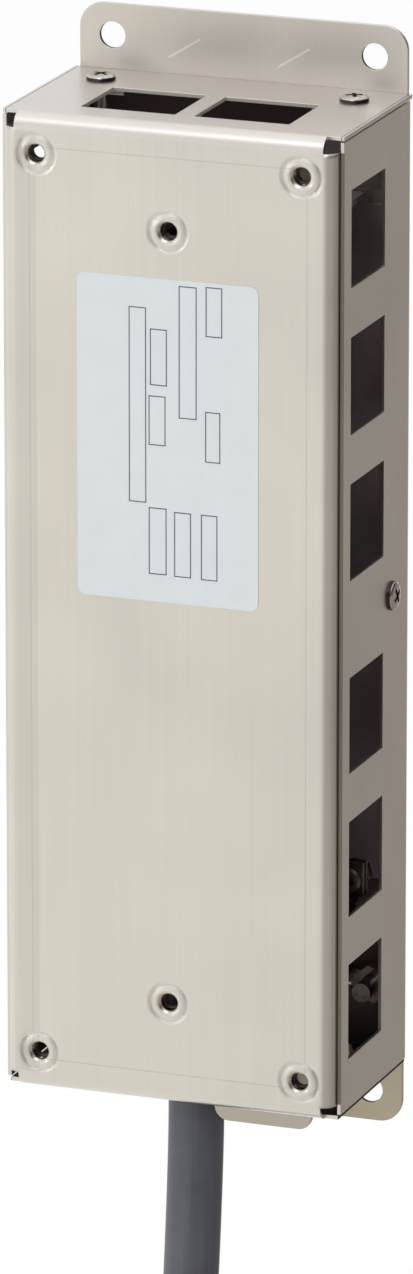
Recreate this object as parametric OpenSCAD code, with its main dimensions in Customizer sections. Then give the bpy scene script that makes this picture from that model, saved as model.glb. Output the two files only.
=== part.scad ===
// Braking resistor: two wire-wound tubes in a folded sheet case with wall tabs and a flying lead.
// The origin is the middle of the four wall holes, on the wall plane. The front faces -Y, +Z is up.

/* [Case] */
// Width of the case over its side walls
case_w = 72; // [68:1:90]
// Height of the case over the cover's flanges
case_h = 203; // [196:1:260]
// Depth of the case from the wall to the front
case_d = 43.5; // [43:0.5:60]
// Thickness of the case sheet
sheet_t = 0.8; // [0.8:0.1:1.4]
// Outside radius of the cover's folds at top and bottom
cover_bend_r = 3; // [2:0.25:3.5]
// Outside radius of the folds to the cover's side lips
lip_bend_r = 2.5; // [2:0.25:3]
// Depth of the cover's side lips from the front
lip_d = 6; // [4:0.5:6.5]
// Outside radius of the tray's rear folds
tray_bend_r = 2.4; // [2:0.2:3]
// Distance of the side walls' front edges behind the front
wall_setback = 2.9; // [1.5:0.1:3.5]

/* [Fits] */
// Gap between sheets that slide in each other
slide_gap = 0.1; // [0.05:0.05:0.25]
// Gap between the side walls' ends and the cover's flanges
flange_gap = 0.3; // [0.2:0.1:0.6]
// Step of the bottom flange's sides behind the case's sides
bottom_set = 0.6; // [0.3:0.1:0.8]
// Width of the relief slits beside folds
relief = 0.8; // [0.4:0.1:1.2]
// Added to a screw's diameter where it passes freely
pass_gap = 0.4; // [0.2:0.1:0.8]
// Added to a diameter where a piece fits closely
close_gap = 0.1; // [0.05:0.05:0.2]

/* [Wall fixing] */
// Step of each fixing tab from the case's side
tab_step = 1; // [0.5:0.5:4]
// Length of a fixing tab past the case
tab_len = 13.5; // [12:0.5:20]
// Corner radius of the fixing tabs
tab_corner_r = 5; // [2:0.5:6]
// Diameter of the wall holes
fix_hole_d = 5.5; // [4.5:0.5:6.5]
// Distance of the wall holes from the tab's end
fix_end = 6.5; // [5:0.5:7]
// Distance of the wall holes from the tab's side
fix_side = 7; // [5:0.5:10]

/* [Front threads] */
// Core diameter of the drawn threaded holes
thread_core_d = 3.3; // [3.2:0.1:3.6]
// Outside diameter of the drawn collars
collar_d = 5; // [4.8:0.1:5.4]
// Depth of the collars from the front
collar_len = 3.6; // [3:0.1:4.5]
// Outside diameter of the pressed ring round each hole
dish_d = 8.7; // [7.5:0.1:9]
// Depth of the pressed ring
dish_depth = 0.3; // [0.2:0.1:0.8]
// Depth of the holes' rounded mouths
mouth_depth = 1.4; // [1:0.1:2]
// Width of the holes' rounded mouths
mouth_w = 0.7; // [0.5:0.1:0.9]
// Distance of the corner holes from the case's sides
thread_inset_x = 8; // [7:0.5:14]
// Distance of the corner holes from the case's ends
thread_inset_z = 8; // [8:0.5:14]
// Distance of the middle pair from the case's ends
middle_inset_z = 21.5; // [18:0.5:24]

/* [Rating label] */
// Width of the label
label_w = 38.4; // [30:0.2:48]
// Height of the label
label_h = 66.4; // [40:0.2:80]
// Distance of the label's lower edge above the middle
label_rise = 4; // [0:0.5:20]
// Thickness of the label
label_t = 0.15; // [0.1:0.05:0.3]
// Corner radius of the label
label_corner_r = 1.8; // [0.5:0.1:4]

/* [Air windows] */
// Side of the square windows in the side walls
side_win = 20; // [12:0.5:20]
// Pitch of the side windows
side_win_pitch = 30; // [24:0.5:30]
// Distance of the first side windows' middles from the case's middle
side_win_first = 20; // [20:0.5:24]
// Number of windows in each half of a side wall
side_win_count = 3; // [1:1:3]
// Distance of the side windows behind the side walls' front edges
side_win_front = 4.2; // [3.6:0.2:6]
// Width of each window in the top flange
top_win_w = 20; // [10:0.5:24]
// Depth of the windows in the top and bottom flanges
flange_win_d = 18; // [12:0.5:20]
// Web between the top windows
top_win_web = 4; // [3:0.5:8]
// Distance of the flange windows from the wall plane
flange_win_back = 16; // [16:0.5:18]
// Width of the left window in the bottom flange
bottom_win_w = 15; // [8:0.5:15]
// Distance of the left bottom window from the case's side
bottom_win_side = 8.5; // [6:0.5:9]

/* [Bottom tongue] */
// Width of the tongue that is folded down beside the cable
tongue_w = 21; // [12:0.5:22]
// Distance of the tongue from the case's right side
tongue_side = 8.6; // [7:0.2:12]
// Length of the tongue below the case
tongue_drop = 5.4; // [3:0.2:9]
// Radius of the tongue's lower corners
tongue_corner_r = 3; // [1:0.5:4]
// Outside radius of the tongue's fold
tongue_bend_r = 1.6; // [1.5:0.1:2]

/* [Cover screws] */
// Diameter of the cover and carrier screws
screw_d = 3; // [2.5:0.5:3.5]
// Diameter of their pan heads
screw_head_d = 6; // [5.5:0.5:7]
// Height of their pan heads
screw_head_h = 1.2; // [1:0.1:2.6]
// Length of their shanks
screw_len = 6; // [5:0.5:8]
// Distance of the cover screws from the case's sides
cover_screw_side = 9; // [8:0.5:12]
// Distance of the cover screws from the wall plane
cover_screw_y = 10; // [9:0.5:10.5]
// Length of the tray's ears from the case's side
ear_len = 16; // [14:0.5:20]
// Width of the tray's ears
ear_w = 10.8; // [9:0.2:11]
// Outside radius of the ears' folds
ear_bend_r = 1.6; // [1.5:0.1:2]
// Length of the ears' feet, which are welded to the side walls
ear_leg = 9; // [7:0.5:9.5]

/* [Resistor tubes] */
// Outside diameter of the winding
winding_d = 27; // [25:0.5:27.5]
// Outside diameter of the ceramic tubes
tube_d = 22; // [20:0.5:23]
// Bore of the ceramic tubes
tube_bore = 12; // [9:0.5:14]
// Bare length at each end of a ceramic tube
tube_end = 11; // [10:0.5:16]
// Number of turns shown on each winding
turn_count = 20; // [8:1:24]
// Depth of the grooves between the turns
turn_depth = 1.1; // [0.5:0.1:1.5]
// Free space between the two windings
winding_space = 4; // [4:0.5:5]
// Distance of the tubes' axes behind the middle of the case's depth
element_set = 0.75; // [0:0.05:1]
// Room above the carrier
room_above = 20.3; // [16:0.1:26]
// Room below the carrier
room_below = 36.3; // [35.5:0.1:38]
// Diameter of the tie rods
rod_d = 5; // [4:0.5:5]
// Length of a tie rod past the carrier
rod_past = 6.5; // [6:0.5:7]
// Thickness of the bushes' flanges
bush_flange = 2; // [1.5:0.5:3]
// Length of the bushes' spigots
bush_spigot = 4; // [3:0.5:8]
// Diameter of the bushes' flanges
bush_d = 19; // [17:0.5:20]

/* [Carrier] */
// Thickness of the carrier's sheet
carrier_t = 1.2; // [1:0.1:1.5]
// Width of the carrier
carrier_w = 54; // [52:0.5:56]
// Outside radius of the carrier's folds
carrier_bend_r = 2.6; // [2.4:0.1:3]
// Height of the carrier's side arms
arm_h = 16; // [12:0.5:18]
// Depth of the arms' flanges from the wall
arm_d = 19; // [17:0.5:22]
// Distance of the side screws from the wall plane
side_screw_y = 11.5; // [11:0.5:14]
// Width of the slot for the switch leads in the lower shelf
lead_slot_w = 9; // [8:0.5:10]
// Length of the shelves in front of the bushes
shelf_past = 2.5; // [1:0.5:3]

/* [Terminal bands] */
// Thickness of the bands
band_t = 1; // [0.8:0.1:1.2]
// Height of the bands
band_h = 7; // [6:0.5:7]
// Slit between a band's two ears
band_slit = 1; // [0.6:0.1:1.4]
// Length of a band's ears
band_ear = 6.4; // [6.2:0.1:7]
// Distance of a band's screw from the ears' end
ear_edge = 2.7; // [2.4:0.1:2.9]
// Thickness of the series link and of the ring terminals
link_t = 0.8; // [0.5:0.1:1]
// Width of the series link
link_h = 6; // [5:0.5:6.5]

/* [Temperature switch] */
// Diameter of the temperature switch
switch_d = 14; // [10:0.5:14]
// Height of the temperature switch
switch_h = 6; // [5:0.5:6.5]
// Height of the switch above the case's middle
switch_z = 20; // [-10:1:40]
// Distance between the switch's tabs
switch_tab_pitch = 7; // [5:0.5:8]
// Length of the switch's tabs below its middle
switch_tab_len = 10; // [9:0.5:14]

/* [Cable] */
// Outside diameter of the cable
cable_d = 11.4; // [10:0.2:11.8]
// Diameter of the power and earth leads
lead_d = 2.6; // [2:0.1:2.8]
// Diameter of the switch leads
switch_lead_d = 2; // [1.4:0.1:2]
// Diameter of the grommet's groove
groove_d = 14; // [13.6:0.2:15]
// Diameter of the grommet's flanges
grommet_d = 17.6; // [17:0.2:18.4]
// Thickness of the grommet's flanges
grommet_t = 1.8; // [1.5:0.1:2.2]
// Width of the strain relief bracket
bracket_w = 26; // [25:0.5:28]
// Distance of the bracket's shelf from the case's bottom end
bracket_rise = 19.5; // [19:0.5:21]
// Length of the bracket's front lip
bracket_lip = 13; // [12:0.5:14]
// Height of the saddle strap
saddle_h = 8; // [6:0.5:9]
// Length of the saddle's feet
saddle_foot = 6; // [5.5:0.5:6]
// Distance of the earth stud from the case's right side
earth_side = 6.5; // [6:0.5:8]
// Distance of the earth stud from the case's bottom end
earth_rise = 17; // [15:0.5:20]
// Diameter of the earth stud
earth_d = 4; // [3:0.5:4]
// Length of the earth stud
earth_len = 10; // [8:0.5:12]
// Width of the cable tie's band
tie_w = 4.8; // [3.6:0.2:6]
// Thickness of the cable tie's band
tie_t = 1.3; // [1:0.1:1.6]
// Length of the conductors' free ends
free_len = 28; // [20:1:34]
// Length of the ferrules
ferrule_len = 12; // [8:1:14]

/* [Hidden] */

// Case faces
half_w = case_w / 2;
half_h = case_h / 2;
in_x = half_w - sheet_t;
in_z = half_h - sheet_t;
front_y = -case_d;
back_in = -sheet_t;
cover_x = in_x - slide_gap;
flat_x = cover_x - lip_bend_r;
flat_z = half_h - cover_bend_r;
flange_back = back_in - slide_gap;
wall_front = front_y + wall_setback;
side_win_y = wall_front + side_win_front + side_win / 2;
wall_end = in_z - flange_gap;
tab_root = wall_end + relief;
tab_end = half_h + tab_len;
tab_x = half_w - tab_step;
fix_x = tab_x - fix_side;
fix_z = tab_end - fix_end;
thread_x = half_w - thread_inset_x;
thread_z = half_h - thread_inset_z;
middle_z = half_h - middle_inset_z;
flange_win_front = -flange_win_back - flange_win_d;
cover_screw_x = half_w - cover_screw_side;
ear_top = in_z - slide_gap;
weld_in = sheet_t / 2;
side_screw_z = 0.5;
bottom_win_x = -half_w + bottom_win_side;
tongue_x = half_w - tongue_side - tongue_w;
bore_over = 1;
ring_steps = 8;
ring_share = 0.65;
collar_fillet = 0.4;
mouth_turn = 15;

// Resistor tubes and carrier
carrier_face = back_in - carrier_t;
plate_side = 0.6;
plate_x = half_w - tray_bend_r - plate_side;
element_x = (winding_d + winding_space) / 2;
element_y = front_y / 2 + element_set;
winding_back = carrier_face - element_y - winding_d / 2;
carrier_hi = half_h - room_above;
carrier_lo = -half_h + room_below;
shelf_hi = carrier_hi - carrier_t;
shelf_lo = carrier_lo + carrier_t;
shelf_front = element_y - bush_d / 2 - shelf_past;
tube_hi = shelf_hi - bush_flange;
tube_lo = shelf_lo + bush_flange;
tube_len = tube_hi - tube_lo;
winding_len = tube_len - 2 * tube_end;
turn_pitch = winding_len / turn_count;
rod_hole_d = rod_d + pass_gap;

// Terminal bands
band_in_r = (tube_d + close_gap) / 2;
band_out_r = band_in_r + band_t;
ear_face = band_slit / 2 + band_t;
ear_hole_r = band_out_r + band_ear - ear_edge;
band_hi_z = tube_hi - tube_end / 2;
band_lo_z = tube_lo + tube_end / 2;
band_screw_past = 3.4;
band_screw_len = 2 * ear_face + link_t + band_screw_past;
barrel_d = 3.6;
barrel_len = 6;
lug_w = 6;
power_neck = band_h / 2 + close_gap;

// Cable and its strain relief
cable_x = -0.9;
cable_y = flange_win_front + flange_win_d / 2;
cable_r = cable_d / 2;
shelf_z = -half_h + bracket_rise;
lip_face = cable_y + cable_r + slide_gap;
bracket_bend_r = 1.6;
bracket_foot = 12;
saddle_r = cable_r + slide_gap;
saddle_z = shelf_z - bracket_lip / 2 - sheet_t;
saddle_screw_x = saddle_r + sheet_t + saddle_foot / 2;
earth_x = half_w - earth_side;
earth_z = -half_h + earth_rise;
earth_barrel_y = back_in - barrel_d / 2 - close_gap / 2;
earth_nut_across = earth_d * 1.75;
earth_neck = earth_nut_across / sqrt(3) + 4 * close_gap;
switch_tab_t = 0.8;
switch_tab_w = 3;
switch_tab_y = carrier_face - switch_h - switch_tab_t / 2;
switch_end_z = switch_z - switch_tab_len;

// Route of the cable's axis in X and in height over the case's bottom end, at cable_y: out of the
// grommet, down, and folded back up to a tie, in one plane that is parallel to the wall
CABLE_ROUTE = [
    [-0.9, 23.5], [-0.9, 11.5], [-0.9, -0.5], [-1, -12.5], [-1.5, -28.5], [-2.3, -46.5], [-3.6, -66.5],
    [-5, -88.5], [-5.9, -108.5], [-6, -120.5], [-6, -128.5], [-7.5, -141.5], [-12.5, -155.5],
    [-20.5, -166.5], [-31, -178.5], [-39.5, -192], [-42, -206.5], [-39.5, -221], [-32, -233.5],
    [-18, -244.5], [0, -248.5], [18, -244.5], [32, -233.5], [39.5, -221], [42, -206.5], [39.5, -192],
    [31, -178.5], [20.5, -166.5], [12.5, -155.5], [7.5, -141.5], [6, -128.5], [6, -120.5], [6, -105.5]
];
cable_axis = [for (p = CABLE_ROUTE) [p[0], cable_y, p[1] - half_h]];
jacket_top = cable_axis[0][2];
jacket_end = cable_axis[len(cable_axis) - 1][2];
tie_z = jacket_end - 15;
tie_x = 6;
tie_head_w = 5;
tie_head_d = 4.5;
core_start = 3;
core_ring = 3.4;
lead_steps = 3;
lead_sides = 8;
cable_steps = 2;
cable_sides = 10;
core_lean = 5;
core_splay = 1.7;

// A point on a smooth curve through b and c, between its neighbours a and d
function curve_point(a, b, c, d, t) =
    0.5 * (2 * b + (c - a) * t + (2 * a - 5 * b + 4 * c - d) * t * t
    + (3 * b - a - 3 * c + d) * t * t * t);

// A list of points with steps added on a smooth curve through them
function smooth(p, steps) = concat(
    [for (i = [0:len(p) - 2]) for (k = [0:steps - 1])
        curve_point(p[max(i - 1, 0)], p[i], p[i + 1], p[min(i + 2, len(p) - 1)], k / steps)],
    [p[len(p) - 1]]
);
function unit(v) = v / norm(v);
function square_to(v, t) = unit(v - (v * t) * t);

// Directions along a smooth curve p, which starts and ends as the route that it follows
function directions(p, route) = [for (i = [0:len(p) - 1])
    i == 0 ? unit(route[1] - route[0])
    : i == len(p) - 1 ? unit(route[len(route) - 1] - route[len(route) - 2])
    : unit(p[i + 1] - p[i - 1])];

// Side vectors carried along the curve without twist
function sides_along(t, first) =
    [for (i = 0, n = square_to(first, t[0]); i < len(t);
        i = i + 1, n = i < len(t) ? square_to(n, t[i]) : n) n];

// A round rod swept along a route, with the given steps between the route's points
module swept(route, steps, r, sides) {
    points = smooth(route, steps);
    t = directions(points, route);
    n = sides_along(t, [0, 1, 0]);
    last = len(points) - 1;
    rings = [for (i = [0:last]) for (k = [0:sides - 1])
        points[i] + r * (cos(360 * k / sides) * n[i] + sin(360 * k / sides) * cross(t[i], n[i]))];
    walls = [for (i = [0:last - 1]) for (k = [0:sides - 1]) for (half = [0, 1])
        half == 0
        ? [i * sides + k, (i + 1) * sides + k, (i + 1) * sides + (k + 1) % sides]
        : [i * sides + k, (i + 1) * sides + (k + 1) % sides, i * sides + (k + 1) % sides]];
    start_cap = [[for (k = [0:sides - 1]) k]];
    end_cap = [[for (k = [sides - 1:-1:0]) last * sides + k]];
    polyhedron(points = rings, faces = concat(walls, start_cap, end_cap), convexity = 10);
}

// Section of a fold in sheet t, in the quadrant towards qx and qy
module fold_2d(r, t, qx, qy) {
    intersection() {
        difference() {
            circle(r = r, $fn = 64);
            circle(r = r - t, $fn = 64);
        }
        translate([qx < 0 ? -r : 0, qy < 0 ? -r : 0]) square(r);
    }
}

// Section of a channel: web on the X axis, legs towards +Y
module channel_2d(half, leg, r, t) {
    translate([r - half, 0]) square([2 * (half - r), t]);
    for (s = [-1, 1]) {
        translate([s * (half - r), r]) fold_2d(r, t, s, -1);
        translate([s > 0 ? half - t : -half, r]) square([t, leg - r]);
    }
}

// Rectangle with round corners, from its lower left corner
module round_rect_2d(w, h, r) {
    translate([r, 0]) square([w - 2 * r, h]);
    translate([0, r]) square([w, h - 2 * r]);
    for (x = [r, w - r]) {
        for (y = [r, h - r]) {
            translate([x, y]) circle(r = r, $fn = 48);
        }
    }
}

// A sheet section in Y and Z, centred on x = 0, with the given width along X
module along_x(width) {
    rotate([90, 0, 90]) linear_extrude(width, center = true) children();
}

// A flat outline in X and Z, standing at y and reaching t towards -Y
module standing(y, t) {
    translate([0, y, 0]) rotate([90, 0, 0]) linear_extrude(t) children();
}

// Pan-head screw with a cross recess: seat at z = 0, head towards +Z
module pan_screw(d, head_d, head_h, len) {
    r = head_d / 2;
    slot_w = head_d * 0.14;
    slot_len = head_d * 0.58;
    slot_depth = head_h * 0.6;
    difference() {
        rotate_extrude($fn = 64) {
            polygon([
                [0, 0], [r, 0], [r, head_h * 0.38], [r * 0.96, head_h * 0.6],
                [r * 0.84, head_h * 0.8], [r * 0.62, head_h * 0.94], [r * 0.35, head_h], [0, head_h]
            ]);
        }
        for (a = [0, 90]) {
            rotate(a) translate([-slot_len / 2, -slot_w / 2, head_h - slot_depth])
                cube([slot_len, slot_w, head_h]);
        }
    }
    translate([0, 0, -len]) cylinder(d = d, h = len, $fn = 48);
}

// Hexagon nut from z = 0 upwards
module hex_nut(d, across, h) {
    difference() {
        cylinder(d = across / cos(30), h = h, $fn = 6);
        translate([0, 0, -bore_over]) cylinder(d = d + close_gap, h = h + 2 * bore_over, $fn = 48);
    }
}

// Drawn threaded hole in the front: pressed ring, rounded mouth and collar, into +Y
module drawn_thread() {
    core_r = thread_core_d / 2;
    collar_r = collar_d / 2;
    dish_r = dish_d / 2;
    ring_w = ring_share * (dish_r - collar_r - collar_fillet);
    ring = [for (k = [0:ring_steps]) [
        dish_r - ring_w * k / ring_steps, dish_depth * (1 - cos(360 * k / ring_steps)) / 2
    ]];
    mouth = [for (a = [0:mouth_turn:90]) [core_r + mouth_w * (1 - sin(a)), mouth_depth * (1 - cos(a))]];
    collar = [
        [core_r, collar_len], [collar_r, collar_len], [collar_r, sheet_t + collar_fillet],
        [collar_r + collar_fillet, sheet_t]
    ];
    ridge = [for (k = [0:ring_steps]) ring[ring_steps - k] + [0, sheet_t]];
    rotate([-90, 0, 0]) rotate_extrude($fn = 64) polygon(concat(ring, mouth, collar, ridge));
}

// Rear tray: back wall with fixing tabs, side walls with windows, and four welded ears
module back_tray() {
    color("silver") difference() {
        union() {
            mirror([0, 1, 0]) linear_extrude(2 * wall_end, center = true)
                channel_2d(half_w, -wall_front, tray_bend_r, sheet_t);
            for (s = [-1, 1]) {
                scale([1, 1, s]) standing(0, sheet_t) fixing_tab_2d();
            }
            tray_ears();
        }
        tray_holes();
    }
}

// One fixing tab with its root in the back wall
module fixing_tab_2d() {
    root_x = half_w - tray_bend_r;
    translate([-root_x, wall_end - 1]) square([2 * root_x, relief + 2]);
    intersection() {
        translate([-tab_x, tab_end - 2 * tab_len])
            round_rect_2d(2 * tab_x, 2 * tab_len, tab_corner_r);
        translate([-tab_x, tab_root]) square([2 * tab_x, tab_end - tab_root]);
    }
}

// Angle pieces welded inside the side walls, whose ears stand under the cover's flanges
module tray_ears() {
    for (sx = [-1, 1]) {
        for (sz = [-1, 1]) {
            scale([sx, 1, sz]) translate([0, -cover_screw_y, 0]) rotate([90, 0, 0])
                linear_extrude(ear_w, center = true) {
                    translate([in_x - ear_bend_r, ear_top - ear_bend_r])
                        fold_2d(ear_bend_r, sheet_t, 1, 1);
                    translate([half_w - ear_len, ear_top - sheet_t])
                        square([in_x - ear_bend_r - half_w + ear_len, sheet_t]);
                    translate([in_x - sheet_t, ear_top - ear_leg])
                        square([sheet_t + weld_in, ear_leg - ear_bend_r]);
                }
        }
    }
}

// Wall holes, side windows and screw holes of the tray
module tray_holes() {
    for (sx = [-1, 1]) {
        for (sz = [-1, 1]) {
            translate([sx * fix_x, bore_over, sz * fix_z]) rotate([90, 0, 0])
                cylinder(d = fix_hole_d, h = sheet_t + 2 * bore_over, $fn = 64);
            translate([sx * cover_screw_x, -cover_screw_y, sz * (ear_top - sheet_t / 2)])
                cylinder(d = screw_d + close_gap, h = sheet_t + 2 * bore_over, center = true, $fn = 48);
            for (i = [0:side_win_count - 1]) {
                translate([sx * (half_w - sheet_t / 2), side_win_y,
                        sz * (side_win_first + i * side_win_pitch)])
                    cube([sheet_t + 2 * bore_over, side_win, side_win], center = true);
            }
        }
        translate([sx * (half_w - sheet_t / 2), -side_screw_y, side_screw_z]) rotate([0, 90, 0])
            cylinder(d = screw_d + pass_gap, h = sheet_t + 2 * bore_over, center = true, $fn = 48);
    }
}

// Front cover: front, top and bottom flanges, side lips and drawn threads
module front_cover() {
    color("gainsboro") difference() {
        union() {
            difference() {
                cover_sheet();
                for (p = thread_places()) {
                    translate([p[0], front_y - bore_over, p[1]]) rotate([-90, 0, 0])
                        cylinder(d = dish_d, h = sheet_t + 2 * bore_over, $fn = 64);
                }
            }
            for (p = thread_places()) {
                translate([p[0], front_y, p[1]]) drawn_thread();
            }
            cable_tongue();
        }
        cover_screw_holes();
    }
}

// Places of the drawn threads in X and Z: the corners, then the middle pair
function thread_places() = concat(
    [for (sx = [-1, 1]) for (sz = [-1, 1]) [sx * thread_x, sz * thread_z]],
    [for (sz = [-1, 1]) [0, sz * middle_z]]
);

// The cover's folded sheet with its windows
module cover_sheet() {
    difference() {
        union() {
            translate([0, front_y, 0]) linear_extrude(2 * flat_z, center = true)
                channel_2d(cover_x, lip_d, lip_bend_r, sheet_t);
            translate([0, front_y, 0]) rotate([0, -90, 0]) linear_extrude(2 * flat_x, center = true)
                channel_2d(half_h, flange_back - front_y, cover_bend_r, sheet_t);
            for (sz = [-1, 1]) {
                flange_x = sz > 0 ? half_w : half_w - bottom_set;
                translate([-flange_x, front_y + cover_bend_r, sz > 0 ? in_z : -half_h])
                    cube([2 * flange_x, flange_back - front_y - cover_bend_r, sheet_t]);
            }
        }
        for (sx = [-1, 1]) {
            flange_window(sx > 0 ? top_win_web / 2 : -top_win_web / 2 - top_win_w, top_win_w, 1);
        }
        flange_window(bottom_win_x, bottom_win_w, -1);
        cable_opening();
    }
}

// One window in a flange, from x to the right
module flange_window(x, w, sz) {
    translate([x, flange_win_front, sz * (half_h - sheet_t / 2) - sheet_t])
        cube([w, flange_win_d, 2 * sheet_t]);
}

// Opening in the bottom flange: the tongue's window and the slot that the grommet slides into
module cable_opening() {
    bend_front = flange_win_front - tongue_bend_r + sheet_t;
    translate([0, 0, -half_h - bore_over]) linear_extrude(sheet_t + 2 * bore_over) {
        translate([tongue_x, bend_front]) square([tongue_w, -flange_win_back - bend_front]);
        translate([cable_x, cable_y - groove_d / 2])
            square([tongue_x - cable_x + bore_over, groove_d]);
        translate([cable_x, cable_y]) circle(d = groove_d, $fn = 64);
    }
}

// Tongue folded down at the opening's front edge
module cable_tongue() {
    fold_y = flange_win_front - tongue_bend_r + sheet_t;
    fold_z = -in_z - tongue_bend_r;
    translate([tongue_x + tongue_w / 2, 0, 0]) along_x(tongue_w)
        translate([fold_y, fold_z]) fold_2d(tongue_bend_r, sheet_t, 1, 1);
    standing(flange_win_front + sheet_t, sheet_t) intersection() {
        translate([tongue_x, -half_h - tongue_drop])
            round_rect_2d(tongue_w, 2 * tongue_drop + 2 * tongue_corner_r, tongue_corner_r);
        translate([tongue_x, -half_h - tongue_drop])
            square([tongue_w, fold_z + half_h + tongue_drop]);
    }
}

// Screw holes in the cover's flanges
module cover_screw_holes() {
    for (sx = [-1, 1]) {
        for (sz = [-1, 1]) {
            translate([sx * cover_screw_x, -cover_screw_y, sz * (half_h - sheet_t / 2)])
                cylinder(d = screw_d + pass_gap, h = sheet_t + 2 * bore_over, center = true, $fn = 48);
        }
    }
}

// Blank rating label on the front
module rating_label() {
    color("aliceblue") standing(front_y, label_t) translate([-label_w / 2, label_rise])
        round_rect_2d(label_w, label_h, label_corner_r);
}

// Screws through the top flange into the ears
module top_cover_screws() {
    color("lightgray") for (sx = [-1, 1]) {
        translate([sx * cover_screw_x, -cover_screw_y, half_h]) rotate(sx * 25)
            pan_screw(screw_d, screw_head_d, screw_head_h, screw_len);
    }
}

// Screws through the bottom flange into the ears
module bottom_cover_screws() {
    color("lightgray") for (sx = [-1, 1]) {
        translate([sx * cover_screw_x, -cover_screw_y, -half_h]) rotate([180, 0, sx * 40])
            pan_screw(screw_d, screw_head_d, screw_head_h, screw_len);
    }
}

// Screws through the side walls into the carrier's arms
module side_carrier_screws() {
    color("lightgray") for (sx = [-1, 1]) {
        translate([sx * half_w, -side_screw_y, side_screw_z]) rotate([0, sx * 90, 0]) rotate(30)
            pan_screw(screw_d, screw_head_d, screw_head_h, screw_len);
    }
}

// Carrier: back plate, two shelves for the tie rods and two arms to the side screws
module element_carrier() {
    color("darkgray") difference() {
        union() {
            along_x(carrier_w) carrier_2d();
            standing(back_in, carrier_t) translate([-plate_x, carrier_lo + carrier_bend_r])
                square([2 * plate_x, carrier_hi - carrier_lo - 2 * carrier_bend_r]);
            translate([0, back_in, side_screw_z]) mirror([0, 1, 0])
                linear_extrude(arm_h, center = true)
                    channel_2d(in_x, arm_d + back_in, carrier_bend_r, carrier_t);
        }
        for (sx = [-1, 1]) {
            translate([sx * element_x, element_y, carrier_lo - bore_over])
                cylinder(d = rod_hole_d, h = carrier_hi - carrier_lo + 2 * bore_over, $fn = 48);
            translate([sx * (in_x - carrier_t / 2), -side_screw_y, side_screw_z]) rotate([0, 90, 0])
                cylinder(d = screw_d + close_gap, h = carrier_t + 2 * bore_over, center = true, $fn = 48);
        }
        translate([-lead_slot_w / 2, shelf_front - bore_over, carrier_lo - bore_over])
            cube([lead_slot_w, element_y - shelf_front + bore_over, carrier_t + 2 * bore_over]);
    }
}

// Section of the carrier in Y and Z
module carrier_2d() {
    fold_y = back_in - carrier_bend_r;
    translate([carrier_face, carrier_lo + carrier_bend_r])
        square([carrier_t, carrier_hi - carrier_lo - 2 * carrier_bend_r]);
    translate([fold_y, carrier_hi - carrier_bend_r]) fold_2d(carrier_bend_r, carrier_t, 1, 1);
    translate([fold_y, carrier_lo + carrier_bend_r]) fold_2d(carrier_bend_r, carrier_t, 1, -1);
    translate([shelf_front, shelf_hi]) square([fold_y - shelf_front, carrier_t]);
    translate([shelf_front, carrier_lo]) square([fold_y - shelf_front, carrier_t]);
}

// One ceramic tube
module ceramic_tube(sx) {
    color("oldlace") translate([sx * element_x, element_y, tube_lo]) difference() {
        cylinder(d = tube_d, h = tube_len, $fn = 96);
        translate([0, 0, -bore_over]) cylinder(d = tube_bore, h = tube_len + 2 * bore_over, $fn = 64);
    }
}

// One winding: turns of flat wire under a dark cement, as a ribbed sleeve
module winding(sx) {
    in_r = (tube_d + close_gap) / 2;
    top_r = winding_d / 2;
    low_r = top_r - turn_depth;
    ribs = [for (i = [0:turn_count - 1]) for (p = [
        [low_r, 0.08], [top_r, 0.26], [top_r, 0.74], [low_r, 0.92]
    ]) [p[0], (i + p[1]) * turn_pitch]];
    color("dimgray") translate([sx * element_x, element_y, tube_lo + tube_end])
        rotate_extrude($fn = 96)
            polygon(concat([[in_r, 0], [low_r, 0]], ribs, [[low_r, winding_len], [in_r, winding_len]]));
}

// Insulating bushes between the tubes' ends and the shelves
module end_bushes() {
    color("ivory") for (sx = [-1, 1]) {
        for (sz = [-1, 1]) {
            translate([sx * element_x, element_y, sz > 0 ? shelf_hi : shelf_lo]) scale([1, 1, -sz])
                difference() {
                    union() {
                        cylinder(d = bush_d, h = bush_flange, $fn = 64);
                        cylinder(d = tube_bore - close_gap, h = bush_flange + bush_spigot, $fn = 64);
                    }
                    translate([0, 0, -bore_over])
                        cylinder(d = rod_hole_d, h = bush_flange + bush_spigot + 2 * bore_over, $fn = 48);
                }
        }
    }
}

// One tie rod through a tube and both shelves
module tie_rod(sx) {
    color("gray") translate([sx * element_x, element_y, carrier_lo - rod_past])
        cylinder(d = rod_d, h = carrier_hi - carrier_lo + 2 * rod_past, $fn = 48);
}

// Nuts on the tie rods, outside the shelves
module rod_nuts() {
    nut_across = rod_d * 1.6;
    nut_h = rod_d * 0.8;
    color("lightgray") for (sx = [-1, 1]) {
        translate([sx * element_x, element_y, carrier_hi]) rotate(12) hex_nut(rod_d, nut_across, nut_h);
        translate([sx * element_x, element_y, carrier_lo - nut_h]) rotate(-9)
            hex_nut(rod_d, nut_across, nut_h);
    }
}

// Clamp band round a tube's end, with two ears towards -Y and a cross hole through them
module clamp_band() {
    difference() {
        union() {
            cylinder(r = band_out_r, h = band_h, center = true, $fn = 96);
            translate([-ear_face, -band_out_r - band_ear, -band_h / 2])
                cube([2 * ear_face, band_ear + band_t, band_h]);
        }
        cylinder(r = band_in_r, h = band_h + 2 * bore_over, center = true, $fn = 96);
        translate([-band_slit / 2, -band_out_r - band_ear - bore_over, -band_h / 2 - bore_over])
            cube([band_slit, band_ear + 2 * band_t + 2 * bore_over, band_h + 2 * bore_over]);
        translate([0, -ear_hole_r, 0]) rotate([0, 90, 0])
            cylinder(d = screw_d + pass_gap, h = 2 * ear_face + 2 * bore_over, center = true, $fn = 48);
    }
}

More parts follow.
